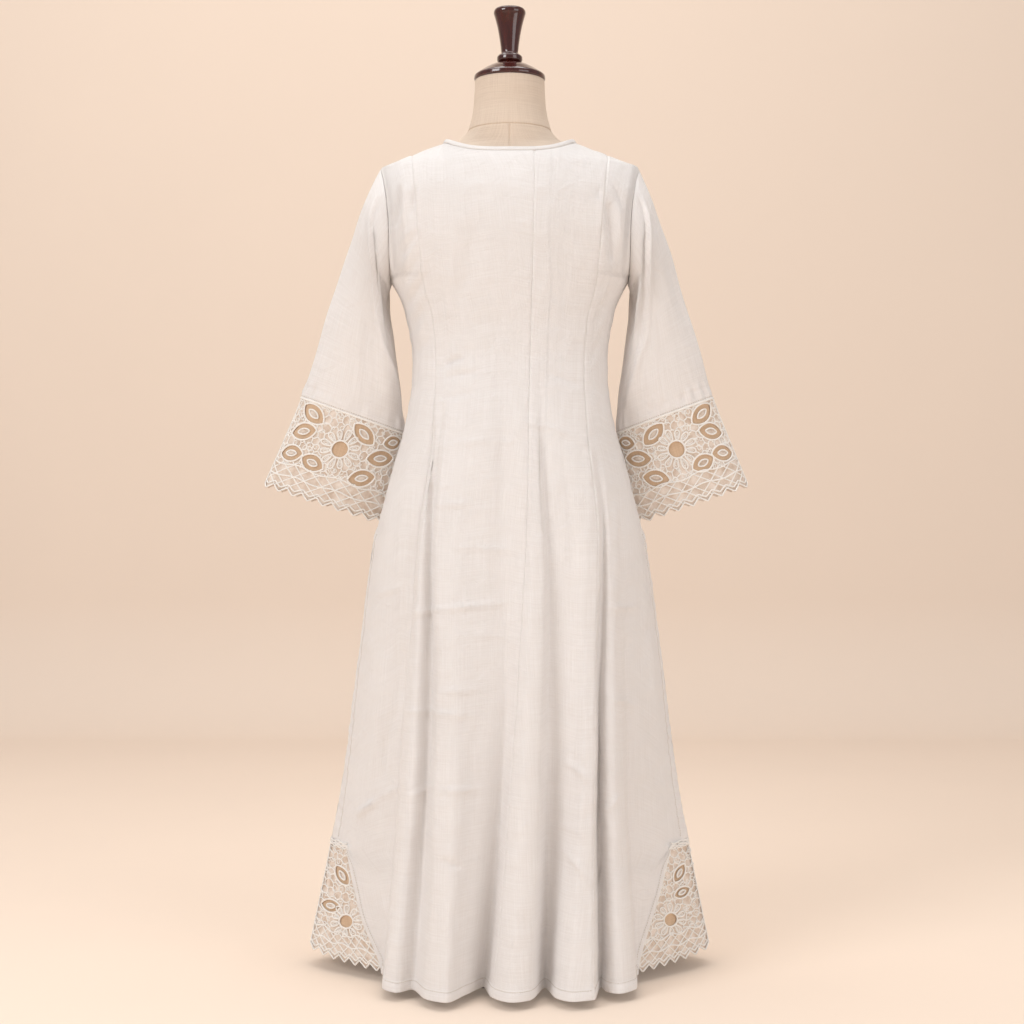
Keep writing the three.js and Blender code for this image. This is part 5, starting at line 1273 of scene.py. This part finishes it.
    # the sheet, as triangles between its outline, its gaps and an even scatter of points
    spacing = lace["sheetStep"]
    evenX, evenY = np.arange(spacing, widths.max(), spacing), np.arange(spacing, heightMm, spacing)
    gridX, gridY = np.meshgrid(evenX, evenY)
    inside = np.stack([gridX, gridY], axis=-1).reshape(-1, 2)
    fits = (inside[:, 1] < heightMm * toothDown - 1)
    fits &= inside[:, 0] < widthAt(np.clip(inside[:, 1] / heightMm, 0, 1)) - 3
    for motif, centre in zip(motifs, centres):
        fits &= ~inMotif(inside, motif, centre, 1.5)
    loops = [boundary] + gaps + islands
    points = np.concatenate(loops + [inside[fits]])
    lines, start = [], 0
    for loop in loops:
        index = np.arange(len(loop))
        lines += np.stack([start + index, start + (index + 1) % len(loop)], axis=-1).tolist()
        start += len(loop)
    result = delaunay_2d_cdt([Vector(point) for point in points.tolist()], lines, [], 0, 1e-5)
    flat = np.array([tuple(v) for v in result[0]])
    triangles = np.array([face for face in result[2] if len(face) == 3])
    middle = flat[triangles].mean(axis=1)
    down = middle[:, 1] / heightMm
    keep = (middle[:, 0] > 0) & (middle[:, 0] < widthAt(np.clip(down, 0, 1))) & (down > 0)
    toothEdge = np.interp(middle[:, 0], toothLine[:, 0], toothLine[:, 1])
    keep &= middle[:, 1] < toothEdge
    for motif, centre in zip(motifs, centres):
        kind, shareAcross, shareDown, turn, length, width = motif
        hole = inMotif(middle, motif, centre, 0)
        if kind == "almond":
            size = (length * lace["islandLength"], width * lace["islandWidth"])
            island = (kind, shareAcross, shareDown, turn, *size)
            hole &= ~inMotif(middle, island, centre, 0)
        keep &= ~hole
    triangles = triangles[keep]
    used, triangles = np.unique(triangles, return_inverse=True)
    triangles = triangles.reshape(-1, 3)
    flat = flat[used]
    outer, normals = onFace(flat, lace["sheetLift"])
    inner = outer - normals * lace["thickness"]
    count = len(flat)
    halfEdges = np.concatenate([triangles[:, [0, 1]], triangles[:, [1, 2]], triangles[:, [2, 0]]])
    keys = set(map(tuple, halfEdges.tolist()))
    rim = np.array([edge for edge in halfEdges.tolist() if (edge[1], edge[0]) not in keys])
    walls = np.stack([rim[:, 1], rim[:, 0], rim[:, 0] + count, rim[:, 1] + count], axis=-1)
    a, b, c = (outer[triangles[:, i]] for i in range(3))
    faceUp = np.einsum("ij,ij->i", np.cross(b - a, c - a), normals[triangles[:, 0]]).sum() > 0
    sheetFaces = [triangles, triangles[:, ::-1] + count, walls]
    if not faceUp:
        sheetFaces = [part[:, ::-1] for part in sheetFaces]
    sheet = makeMesh(f"{node}_ground", np.concatenate([outer, inner]), sheetFaces, laceCloth,
                     np.concatenate([flat, flat]))
    corners = outer[triangles]
    cross = np.cross(corners[:, 1] - corners[:, 0], corners[:, 2] - corners[:, 0])
    area = np.linalg.norm(cross, axis=-1).sum() / 2 * 1e-6
    sheetSizes[node] = (trueWidth, heightMm, area)
    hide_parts(node)
    allPoints, allFaces, uvs = [], [], []
    offset = 0

    def addCords(group, radius, isClosed, lift):
        """Adds cords of one radius along the paths, those of equal length at once."""
        nonlocal offset
        for size in sorted({len(path) for path in group}):
            same = np.stack([path for path in group if len(path) == size])
            spots, facing = onFace(same, lift)
            ring, parts = tubeMesh(spots, facing, radius, lace["cordSides"], isClosed)
            allPoints.append(ring)
            allFaces.extend(part + offset for part in parts)
            uvs.append(np.repeat(same.reshape(-1, 2), lace["cordSides"], axis=0))
            offset += len(ring)

    addCords(cords, lace["ringRadius"], True, lace["cordLift"])
    addCords(petalCords, lace["cordRadius"], True, lace["cordLift"])
    addCords(thinCords + rings, lace["thinRadius"], True, lace["thinLift"])
    addCords(list(ground) + band, lace["groundRadius"], False, lace["groundLift"])
    addCords(borders, lace["cordRadius"], False, lace["cordLift"])
    if tack:
        addCords(tack, lace["cordRadius"], False, lace["tackLift"])
    piece = makeMesh(f"{node}_cords", np.concatenate(allPoints), allFaces, cordCotton, np.concatenate(uvs))


def laceGroundMaterial(name, look):
    """A fine net over the lining: two slanting sine grids leave holes that show a darker colour."""
    material, tree, shader = newMaterial(name, 0.8, {"Specular IOR Level": 0.25})
    place = addNode(tree, "ShaderNodeTexCoord")
    parts = addNode(tree, "ShaderNodeSeparateXYZ", None, {0: place.outputs["UV"]})
    lean = mathNode(tree, "ADD", parts.outputs["X"], parts.outputs["Y"])
    other = mathNode(tree, "SUBTRACT", parts.outputs["X"], parts.outputs["Y"])
    waves = [mathNode(tree, "ABSOLUTE", mathNode(tree, "SINE", mathNode(tree, "MULTIPLY", way, look["net"])))
             for way in (lean, other)]
    hole = mathNode(tree, "GREATER_THAN", mathNode(tree, "MINIMUM", waves[0], waves[1]), look["netThread"])
    cloudy = addNode(tree, "ShaderNodeGroup", {"node_tree": mottleGroup},
                     {"Vector": place.outputs["Object"], "Scale": look["cells"]})
    cloud = mathNode(tree, "MULTIPLY", mathNode(tree, "SUBTRACT", cloudy.outputs["Shade"], 0.5),
                     look["cellContrast"])
    shaded = mathNode(tree, "ADD", cloud, look["cellShade"])
    netted = mathNode(tree, "ADD", mathNode(tree, "MULTIPLY", hole, 0.35), 0.65)
    depth = addNode(tree, "ShaderNodeClamp", None, {0: mathNode(tree, "MULTIPLY", shaded, netted)}).outputs[0]
    tree.links.new(blendColours(tree, depth, look["ground"], look["gap"]), shader.inputs["Base Color"])
    height = mathNode(tree, "SUBTRACT", 1.0, hole)
    addBump(tree, shader, 0.3, 0.0006, height)
    return material


def cordMaterial(name, look):
    """White cotton cord, twisted: bands run slantwise along it, painted darker as the shade in the twist's
    grooves.
    """
    material, tree, shader = newMaterial(name, 0.7, {"Specular IOR Level": 0.3, "Sheen Weight": 0.1})
    place = addNode(tree, "ShaderNodeTexCoord")
    twist = addNode(tree, "ShaderNodeTexWave", {"wave_type": "BANDS", "bands_direction": "DIAGONAL"},
                    {"Vector": place.outputs["Object"], "Scale": 260.0, "Distortion": 1.5})
    tree.links.new(blendColours(tree, twist.outputs["Fac"], look["shade"], look["light"]),
                   shader.inputs["Base Color"])
    addBump(tree, shader, 0.3, 0.0006, twist.outputs["Fac"])
    return material


laceLook = {"ground": (0.885, 0.81, 0.745), "gap": (0.585, 0.45, 0.35),
            "net": 2400.0, "netThread": 0.4, "cells": 75.0, "cellContrast": 2.6, "cellShade": 0.55}
# The cord's shade colour is painted shade for the twist's grooves, not a second colour of the cotton.
cordLook = {"light": (0.95, 0.93, 0.90), "shade": (0.86, 0.83, 0.79)}
laceCloth = laceGroundMaterial("whiteLace", laceLook)
cordCotton = cordMaterial("whiteCord", cordLook)


def makeLining(node, face, heightMm, columns, rows, isRing=False, side=None):
    """A thin wall behind the lace, set in along the normals and crumpled by soft noise."""
    down = np.linspace(0, 1 - lace["toothDepth"] / heightMm, rows)
    if isRing:
        turns = np.arange(columns) / columns
        turn, share = np.meshgrid(turns, down)
        ring = lerp(sleeve["seamRing"], sleeve["endRing"], share)
        points, normals = sleevePoint(side, turn, ring), sleeveNormal(side, turn, ring)
        uv = np.stack([turn * 380, share * heightMm], axis=-1)
    else:
        across, share = np.meshgrid(np.linspace(0, 1, columns), down)
        place, normal = face
        points, normals = place(across, share), normal(across, share)
        uv = np.stack([across * 120, share * heightMm], axis=-1)
    crumple = lace["liningCrumple"] * softNoise(uv[..., 0], uv[..., 1], 26, 91)
    outer = points - normals * (lace["liningDepth"] + crumple)[..., None]
    thickness = lace["liningThickness"] + 0 * share
    piece = clothWall(f"{node}_cloth", outer, normals, thickness, liningCloth, uv, isRing)
    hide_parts(node)


cornerHeight = cut["cornerTopZ"] - cut["hemZ"]
for side in ("left", "right"):
    node = f"cuff_lining_{side}"
    makeLining(node, None, lace["cuffHeight"], 96, 28, True, side)
    for part in ("back", "front"):
        node = f"cuff_lace_{side}_{part}"
        seed = 100 + 10 * (side == "right") + (part == "front")
        makeLace(node, cuffFace(side, part), lace["cuffHeight"], lace["cuffTeeth"], cuffMotifs,
                 seed, lace["cuffBandDown"], False)
for half in (back, front):
    for isLeft in (True, False):
        place = f"{half['side']}_{'left' if isLeft else 'right'}"
        face = cornerFace(half, isLeft)
        node = f"corner_lining_{place}"
        makeLining(node, face, cornerHeight, 24, 30)
        node = f"corner_lace_{place}"
        motifs = cornerMotifs["left" if isLeft else "right"]
        seed = 200 + 2 * isLeft + (half is front)
        makeLace(node, face, cornerHeight, lace["cornerTeeth"], motifs, seed,
                 lace["cornerBandDown"], True)
print("lace and linings made")


# The neck binding.
binding = {"width": 7.5, "thickness": 1.2, "bulge": 0.7, "columns": 260, "blur": 9, "edgeBlur": 2}


def makeBinding():
    """A folded strip round the neck: its section bulges between two rows along the neckline."""
    loops = []
    for half in (back, front):
        shares = np.sin(np.pi / 2 * np.linspace(-1, 1, binding["columns"] // 2 + 1))
        wanted = shares * (cut["neckHalfWidth"] - 0.01)
        xAt = half["xAt"]
        z = np.minimum(half["edgeZ"](wanted), cut["neckPointZ"])
        u = bisect(wanted * 0, wanted * 0 + half["last"], lambda at: xAt(at, z) > wanted)
        loops.append(half["pointAt"](u, z))
    edge = np.concatenate([loops[0], loops[1][::-1][1:-1]])
    outwards = unit(edge * np.array([0.45, 1.0, 0.0])) * 0.85 + np.array([0, 0, 0.52])
    normals = unit(outwards)
    for step in range(binding["blur"]):
        if step < binding["edgeBlur"]:
            edge = (np.roll(edge, 1, axis=0) + 2 * edge + np.roll(edge, -1, axis=0)) / 4
        normals = unit(np.roll(normals, 1, axis=0) + 2 * normals + np.roll(normals, -1, axis=0))
    along = unit(np.roll(edge, -1, axis=0) - np.roll(edge, 1, axis=0))
    inwards = unit(np.cross(along, normals))
    inwards = inwards * np.where(inwards[:, 2:] < 0, -1, 1)
    normals = unit(np.cross(inwards, along))
    normals = normals * np.where(np.einsum("ij,ij->i", normals, edge)[:, None] < 0, -1, 1)
    ways = np.array([0, 0.06, 0.16, 0.35, 0.6, 0.82, 0.94, 1.0])
    lift = binding["bulge"] * np.sin(np.pi * ways) ** 0.5 - 0.3 * np.exp(-(((ways - 0.16) / 0.06) ** 2))
    distance = cut["seamGap"] + ways * (binding["width"] - cut["seamGap"])
    outer = edge[None] + inwards[None] * distance[:, None, None] + normals[None] * lift[:, None, None]
    shown = np.broadcast_to(normals[None], outer.shape)
    length = np.concatenate([[0], np.cumsum(np.linalg.norm(np.diff(edge, axis=0), axis=-1))])
    uv = np.stack(np.broadcast_arrays(length[None, :], distance[:, None]), axis=-1)
    thickness = binding["thickness"] + lift[:, None] + 0 * outer[..., 0]
    piece = clothWall("neck_binding_cloth", outer, shown, thickness, cotton, uv, True)
    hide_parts("neck_binding")
    return outer, normals


bindingRows, bindingNormals = makeBinding()
print("binding made")


# The rows of stitches.
stitching = {"pitch": 3.6, "length": 2.6, "radius": 0.45, "lift": 0.05}


def stitchRow(path, normals):
    """Small spindles along a line, every pitch, lying on the cloth."""
    steps = np.linalg.norm(np.diff(path, axis=0), axis=-1)
    along = np.concatenate([[0], np.cumsum(steps)])
    starts = np.arange(stitching["pitch"], along[-1] - stitching["pitch"], stitching["pitch"])
    at = starts[:, None] + np.array([0, 0.25, 0.75, 1])[None] * stitching["length"]
    spots = np.stack([np.interp(at, along, path[:, i]) for i in range(3)], axis=-1)
    facing = unit(np.stack([np.interp(at, along, normals[:, i]) for i in range(3)], axis=-1))
    reach = stitching["radius"] * np.array([0.35, 1, 1, 0.35])[None]
    reach = np.broadcast_to(reach, at.shape)
    return tubeMesh(spots + facing * stitching["lift"], facing, reach, 4, False)


def joinedStitches(name, rows, material):
    """One piece of the stitches along several rows."""
    points, faces, offset = [], [], 0
    for path, normals in rows:
        ring, parts = stitchRow(path, normals)
        points.append(ring)
        faces += [part + offset for part in parts]
        offset += len(ring)
    allPoints = np.concatenate(points)
    piece = makeMesh(name, allPoints, faces, material, np.zeros((len(allPoints), 2)))
    return piece


# The stitches are real, but their thread is painted a darker tan than the cloth, so each row also stands in
# as painted shade along its stitched groove.
threadAndShadeMaterial, threadAndShadeTree, threadAndShadeShader = newMaterial("sewingThreadAndPaintedShade", 0.7)
threadPlace = addNode(threadAndShadeTree, "ShaderNodeTexCoord")
threadNoise = noiseNode(threadAndShadeTree, threadPlace.outputs["Object"], Scale=900.0)
threadAndShadeLook = {"dark": (0.56, 0.49, 0.42), "light": (0.70, 0.63, 0.55)}
threadAndShadeColour = blendColours(threadAndShadeTree, threadNoise, threadAndShadeLook["dark"], threadAndShadeLook["light"])
threadAndShadeTree.links.new(threadAndShadeColour, threadAndShadeShader.inputs["Base Color"])


def gridLine(piece, distances, wanted, axis, rowRange):
    """The grid line whose distance from an edge is nearest to the wanted one."""
    start, end = rowRange
    if axis == 1:
        column = int(np.argmin(np.abs(distances[(start + end) // 2] - wanted)))
        return piece["outer"][start:end, column], piece["normals"][start:end, column]
    row = int(np.argmin(np.abs(distances[:, distances.shape[1] // 2] - wanted)))
    return piece["outer"][row], piece["normals"][row]


hemRows = [gridLine(piece, piece["bottom"], cut["hemBand"], 0, (0, 0)) for piece in panels.values()]
slitRows = []
for name, piece in panels.items():
    if "side" not in name:
        continue
    distances = piece["left"] if name.endswith("left") else piece["right"]
    middleColumn = piece["z"][:, piece["z"].shape[1] // 2]
    slitEnd = int(np.searchsorted(middleColumn, cut["slitTopZ"]))
    slitRows.append(gridLine(piece, distances, cut["slitBand"], 1, (piece["lowRows"] + 1, slitEnd)))
    slitRows.append(gridLine(piece, distances, cut["cornerBand"], 1, (2, piece["lowRows"])))
cuffRows = []
for piece in sleevePieces.values():
    row = int(np.argmin(np.abs(piece["fromFoot"][:, 0] - 3)))
    cuffRows.append((piece["outer"][row], piece["normals"][row]))
for side, piece in sleevePieces.items():
    facing = piece["normals"][-1:]
    path = piece["outer"][-1:] + facing * 0.4 + np.array([0, 0, -0.6])
    ring, parts = tubeMesh(path, facing, lace["pipingRadius"], 8, True)
    piping = makeMesh(f"cuff_piping_{side}", ring, parts, cordCotton, np.zeros((len(ring), 2)))
joinedStitches("hem_stitches", hemRows, threadAndShadeMaterial)
joinedStitches("slit_stitches", slitRows, threadAndShadeMaterial)
joinedStitches("cuff_stitches", cuffRows, threadAndShadeMaterial)
joinedStitches("neck_stitches", [(bindingRows[2], bindingNormals)], threadAndShadeMaterial)
print("stitches made")


# The dress form.
torsoSections = table("z halfWidth back front power fall", [
    (700, 172, 117, 112, 2.3, 0.44), (792, 151, 110, 106, 2.3, 0.44), (832, 143, 102, 100, 2.3, 0.44),
    (912, 137, 88, 92, 2.3, 0.44), (980, 149, 92, 108, 2.3, 0.44), (1020, 162, 99, 118, 2.3, 0.44),
    (1100, 173, 107, 117, 2.3, 0.44), (1140, 178, 104, 104, 2.3, 0.44), (1166, 183, 97, 93, 2.3, 0.52),
    (1190, 187.6, 84.5, 76.5, 2.2, 0.68), (1200, 165.4, 77.5, 71, 2, 0.72), (1210, 139, 71, 67.5, 1.7, 0.76),
    (1220, 107, 67, 65, 1.65, 0.76), (1229, 79, 64.5, 63.8, 1.9, 0.62), (1245, 63, 63, 63, 2, 0.5),
    (1285, 54, 54, 54, 2, 0.5), (1321.7, 52, 52, 52, 2, 0.5),
])
form = {"neckTopZ": 1321.7, "neckSeamZ": 1245, "columns": 120, "underCloth": 0.965, "seamDepth": 1.5}


def makeTorso():
    """Level sections like the garment's, closed below and above, with seams let into the neck."""
    covered = np.linspace(700, 1186, 60)
    shown = np.linspace(1190, form["neckTopZ"], 66)
    nearSeam = form["neckSeamZ"] + np.array([-3, -2, -1.3, -0.8, -0.4, 0, 0.4, 0.8, 1.3, 2, 3])
    shown = np.concatenate([shown[np.abs(shown - form["neckSeamZ"]) > 3.6], nearSeam])
    heights = np.concatenate([covered, np.sort(shown)])
    angle = 2 * np.pi * np.arange(form["columns"]) / form["columns"]
    nearBack = 1.5 * np.pi + np.array([-3, -2, -1.3, -0.8, -0.4, 0, 0.4, 0.8, 1.3, 2, 3]) / 63
    angle = np.sort(np.concatenate([angle[np.abs(angle - 1.5 * np.pi) > 4.2 / 63], nearBack]))
    z, turn = np.meshgrid(heights, angle, indexing="ij")
    value = {key: smoothCurve(torsoSections["z"], column, z)
             for key, column in torsoSections.items() if key != "z"}
    share = np.cos(turn)
    depth = np.where(turn < np.pi, value["front"], -value["back"])
    depth = depth * np.maximum(1 - np.abs(share) ** value["power"], 0) ** value["fall"]
    slim = lerp(form["underCloth"], 1.0, smoothStep(1208, 1232, z))
    points = np.stack([value["halfWidth"] * share * slim, depth * slim, z], axis=-1)
    groove = np.exp(-(((z - form["neckSeamZ"]) / 0.9) ** 2))
    beside = np.abs(points[..., 0])
    backSeam = np.exp(-((beside / 0.9) ** 2)) * (points[..., 1] < 0) * (z < form["neckSeamZ"])
    inward = unit(points * np.array([1.0, 1.0, 0.0]))
    points = points - inward * (form["seamDepth"] * np.maximum(groove, backSeam))[..., None]
    rows, columns = z.shape
    quads = gridQuads(rows, columns, True)
    ends = np.arange(columns)
    caps = [ends[::-1][None], (ends + (rows - 1) * columns)[None]]
    flat = points.reshape(-1, 3)
    turned = facesOutward(flat, quads)
    if not np.array_equal(turned, quads):
        caps = [part[:, ::-1] for part in caps]
    uv = np.stack([turn * 60, z], axis=-1)
    piece = makeMesh("form_torso_linen", flat, [turned] + caps, linen, uv)
    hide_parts("form_torso")
    return piece


makeTorso()


lacquerLook = {"dark": (0.020, 0.003, 0.002), "light": (0.085, 0.010, 0.006),
               "roughGrain": 0.12, "roughLeast": 0.07}
paintLook = {"dark": (0.030, 0.028, 0.026), "light": (0.045, 0.042, 0.038)}


def woodMaterial():
    """Dark red lacquer over a fine upright grain."""
    material, tree, shader = newMaterial("redLacquer", 0.12, {"Coat Weight": 0.6, "Coat Roughness": 0.04})
    place = addNode(tree, "ShaderNodeTexCoord")
    stretched = addNode(tree, "ShaderNodeMapping", None,
                        {"Vector": place.outputs["Object"], "Scale": (60, 60, 5)})
    grain = noiseNode(tree, stretched.outputs[0], Scale=3.0, Detail=6.0)
    tree.links.new(blendColours(tree, grain, lacquerLook["dark"], lacquerLook["light"]),
                   shader.inputs["Base Color"])
    rough = mathNode(tree, "MULTIPLY", grain, lacquerLook["roughGrain"])
    rough = mathNode(tree, "ADD", rough, lacquerLook["roughLeast"])
    tree.links.new(rough, shader.inputs["Roughness"])
    return material


wood = woodMaterial()


def turnedPiece(name, node, profile, baseZ, material, sides=72, perStep=6):
    """A profile of radius and height turned round the upright axis."""
    profile = np.array(profile, dtype=float)
    steps = np.arange(len(profile), dtype=float)
    fine = np.linspace(0, steps[-1], len(profile) * perStep)
    radius = np.maximum(smoothCurve(steps, profile[:, 0], fine), 0)
    height = smoothCurve(steps, profile[:, 1], fine) + baseZ
    angle = 2 * np.pi * np.arange(sides) / sides
    rings = np.stack([radius[1:-1, None] * np.cos(angle), radius[1:-1, None] * np.sin(angle),
                      np.broadcast_to(height[1:-1, None], (len(fine) - 2, sides))], axis=-1)
    rows = len(fine) - 2
    points = np.concatenate([rings.reshape(-1, 3), [[0, 0, height[0]], [0, 0, height[-1]]]])
    ends = np.arange(sides)
    following = (ends + 1) % sides
    lastRing = (rows - 1) * sides
    bottom = np.stack([np.full(sides, rows * sides), following, ends], axis=-1)
    top = np.stack([np.full(sides, rows * sides + 1), ends + lastRing, following + lastRing], axis=-1)
    piece = makeMesh(name, points, [gridQuads(rows, sides, True), bottom, top], material)
    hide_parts(node)
    return piece


capProfile = [(0, 0.3), (48, 0.3), (51.5, 0.6), (53.5, 3), (53.2, 6.5), (51, 9.2), (46.5, 12.2), (40, 16.5),
              (31, 21.5), (22, 25.4), (18, 26.6), (0, 27)]
finialProfile = [(0, 27.3), (14, 27.3), (17.4, 28.6), (19, 31.6), (19, 35), (17.2, 38), (13.6, 40.6),
                 (12.8, 43), (13.4, 50), (15, 62), (18.2, 80), (22.4, 96), (24, 102), (22.6, 106.6),
                 (16, 109.4), (0, 110.3)]
turnedPiece("neck_cap_turned", "neck_cap", capProfile, form["neckTopZ"], wood)
turnedPiece("finial_turned", "finial", finialProfile, form["neckTopZ"], wood)


def steelMaterial():
    """Dark satin paint with a faint orange peel."""
    material, tree, shader = newMaterial("satinPaint", 0.4, {"Metallic": 0.3})
    place = addNode(tree, "ShaderNodeTexCoord")
    peel = noiseNode(tree, place.outputs["Object"], Scale=300.0, Detail=3.0)
    tree.links.new(blendColours(tree, peel, paintLook["dark"], paintLook["light"]),
                   shader.inputs["Base Color"])
    addBump(tree, shader, 0.15, 0.0005, peel)
    return material


steel = steelMaterial()
for name in ("stand_pole", "stand_base"):
    standPart = frame["nodes"][name]
    for materialSlot in standPart.material_slots:
        materialSlot.material = steel
print("dress form made")


# The cut of each sheet that shows: width, length and area, laid flat.
for name, (width, length, area) in sheetSizes.items():
    node = name.removesuffix("_cloth")
    if "cuff" in node:
        side = "left" if "left" in node else "right"
    if "corner" in node:
        if "lining" in node:
            kind, part, halfName, sideName = node.split("_")
    piece = bpy.data.objects[f"{name}_ground" if "lace" in name else name]
    others = [bpy.data.objects[f"{name}_cords"]] if "lace" in name else []
    print(f"{node}: {width:.0f} by {length:.0f} mm, {area:.4f} square metres")


# Floor, backdrop, lamps and camera, in metres.
studio = {
    "floorSize": 9.0, "wallY": 2.9, "bendRadius": 0.4, "wallTop": 5.0,
    "cameraX": 0.00345, "cameraZ": 0.6756, "cameraDistance": 2.6, "lens": 60.94,
    # floor and wall: one paper, painted lighter on the near floor and darker towards and up the wall as
    # painted shade; glow: painted light given off by the paper itself
    "floor": (0.83, 0.70, 0.59), "wall": (0.69, 0.58, 0.49), "glow": 0.16, "cloudiness": 0.25,
    "air": (1.0, 0.965, 0.94, 1), "airStrength": 0.42, "sensor": 36, "farthest": 50,
}
# Each lamp: its place, what it looks at, its width and height, its power and its colour.
lamps = {
    "keyLight": ((-3.1, -2.9, 2.9), (0, 0, 0.8), (1.9, 1.9), 84, (1.0, 0.995, 1.0)),
    "fillLight": ((3.0, -2.8, 1.6), (0, 0, 0.7), (2.4, 2.6), 38, (1.0, 0.99, 1.0)),
    "topLight": ((0.0, -0.2, 4.2), (0, 0.2, 0), (3.2, 3.2), 60, (1.0, 0.98, 0.96)),
    "backdropLight": ((-0.6, 0.9, 3.6), (-0.3, 2.9, 1.0), (3.0, 1.4), 20, (1.0, 0.97, 0.94)),
    "warmBounce": ((0.5, -2.3, 0.05), (0, 0, 0.5), (1.6, 0.6), 2.2, (1.0, 0.8, 0.62)),
}


def makeBackdrop():
    """The floor bends up into the wall on a quarter circle."""
    bend = np.linspace(0, np.pi / 2, 24)
    radius = studio["bendRadius"]
    y = np.concatenate([[-6.0, 0.0], studio["wallY"] - radius + radius * np.sin(bend), [studio["wallY"]]])
    z = np.concatenate([[0.0, 0.0], radius - radius * np.cos(bend), [studio["wallTop"]]])
    x = np.linspace(-studio["floorSize"], studio["floorSize"], 12)
    points = np.stack(np.broadcast_arrays(x[None, :], y[:, None], z[:, None]), axis=-1)
    material, tree, shader = newMaterial("studioPaper", 0.85, {"Specular IOR Level": 0.15})
    place = addNode(tree, "ShaderNodeTexCoord")
    height = addNode(tree, "ShaderNodeSeparateXYZ", None, {0: place.outputs["Object"]})
    # The paper's colour is painted darker from the near floor back to the wall: painted shade for the light
    # falling off.
    ramp = addNode(tree, "ShaderNodeMapRange", None,
                   {"Value": height.outputs["Y"], "From Min": -0.3, "From Max": 2.9})
    mottle = noiseNode(tree, place.outputs["Object"], Scale=1.6, Detail=5.0)
    cloud = mathNode(tree, "MULTIPLY", mathNode(tree, "SUBTRACT", mottle, 0.5), studio["cloudiness"])
    tone = mathNode(tree, "ADD", ramp.outputs[0], cloud)
    paperAndPaintedShade = blendColours(tree, tone, studio["floor"], studio["wall"])
    tree.links.new(paperAndPaintedShade, shader.inputs["Base Color"])
    # The paper also glows with its own colour: painted light that lifts the shadows cast on it.
    tree.links.new(paperAndPaintedShade, shader.inputs["Emission Color"])
    shader.inputs["Emission Strength"].default_value = studio["glow"]
    mesh = bpy.data.meshes.new("backdrop")
    rows, columns = points.shape[:2]
    mesh.from_pydata(points.reshape(-1, 3).tolist(), [], gridQuads(rows, columns).tolist())
    mesh.polygons.foreach_set("use_smooth", np.full(len(mesh.polygons), True))
    mesh.materials.append(material)
    backdrop = bpy.data.objects.new("backdrop", mesh)
    bpy.context.scene.collection.objects.link(backdrop)


def areaLight(name, place, target, size, power, colour):
    """A rectangular lamp at a place, turned to look at its target."""
    light = bpy.data.lights.new(name, "AREA")
    light.shape = "RECTANGLE"
    light.size, light.size_y = size
    light.energy = power
    light.color = colour
    lamp = bpy.data.objects.new(name, light)
    lamp.location = place
    lamp.rotation_euler = (Vector(target) - Vector(place)).to_track_quat("-Z", "Y").to_euler()
    bpy.context.scene.collection.objects.link(lamp)


makeBackdrop()
for name, values in lamps.items():
    areaLight(name, *values)
world = bpy.data.worlds.new("studioAir")
world.use_nodes = True
world.node_tree.nodes["Background"].inputs[0].default_value = studio["air"]
world.node_tree.nodes["Background"].inputs[1].default_value = studio["airStrength"]
bpy.context.scene.world = world
bpy.context.scene.view_settings.view_transform = "Standard"

camera = bpy.data.cameras.new("camera")
camera.sensor_width = studio["sensor"]
camera.lens = studio["lens"]
camera.clip_end = studio["farthest"]
cameraObject = bpy.data.objects.new("camera", camera)
cameraObject.location = (studio["cameraX"], -studio["cameraDistance"], studio["cameraZ"])
cameraObject.rotation_euler = (np.pi / 2, 0, 0)
bpy.context.scene.collection.objects.link(cameraObject)
bpy.context.scene.camera = cameraObject
print("floor, lights and camera made")
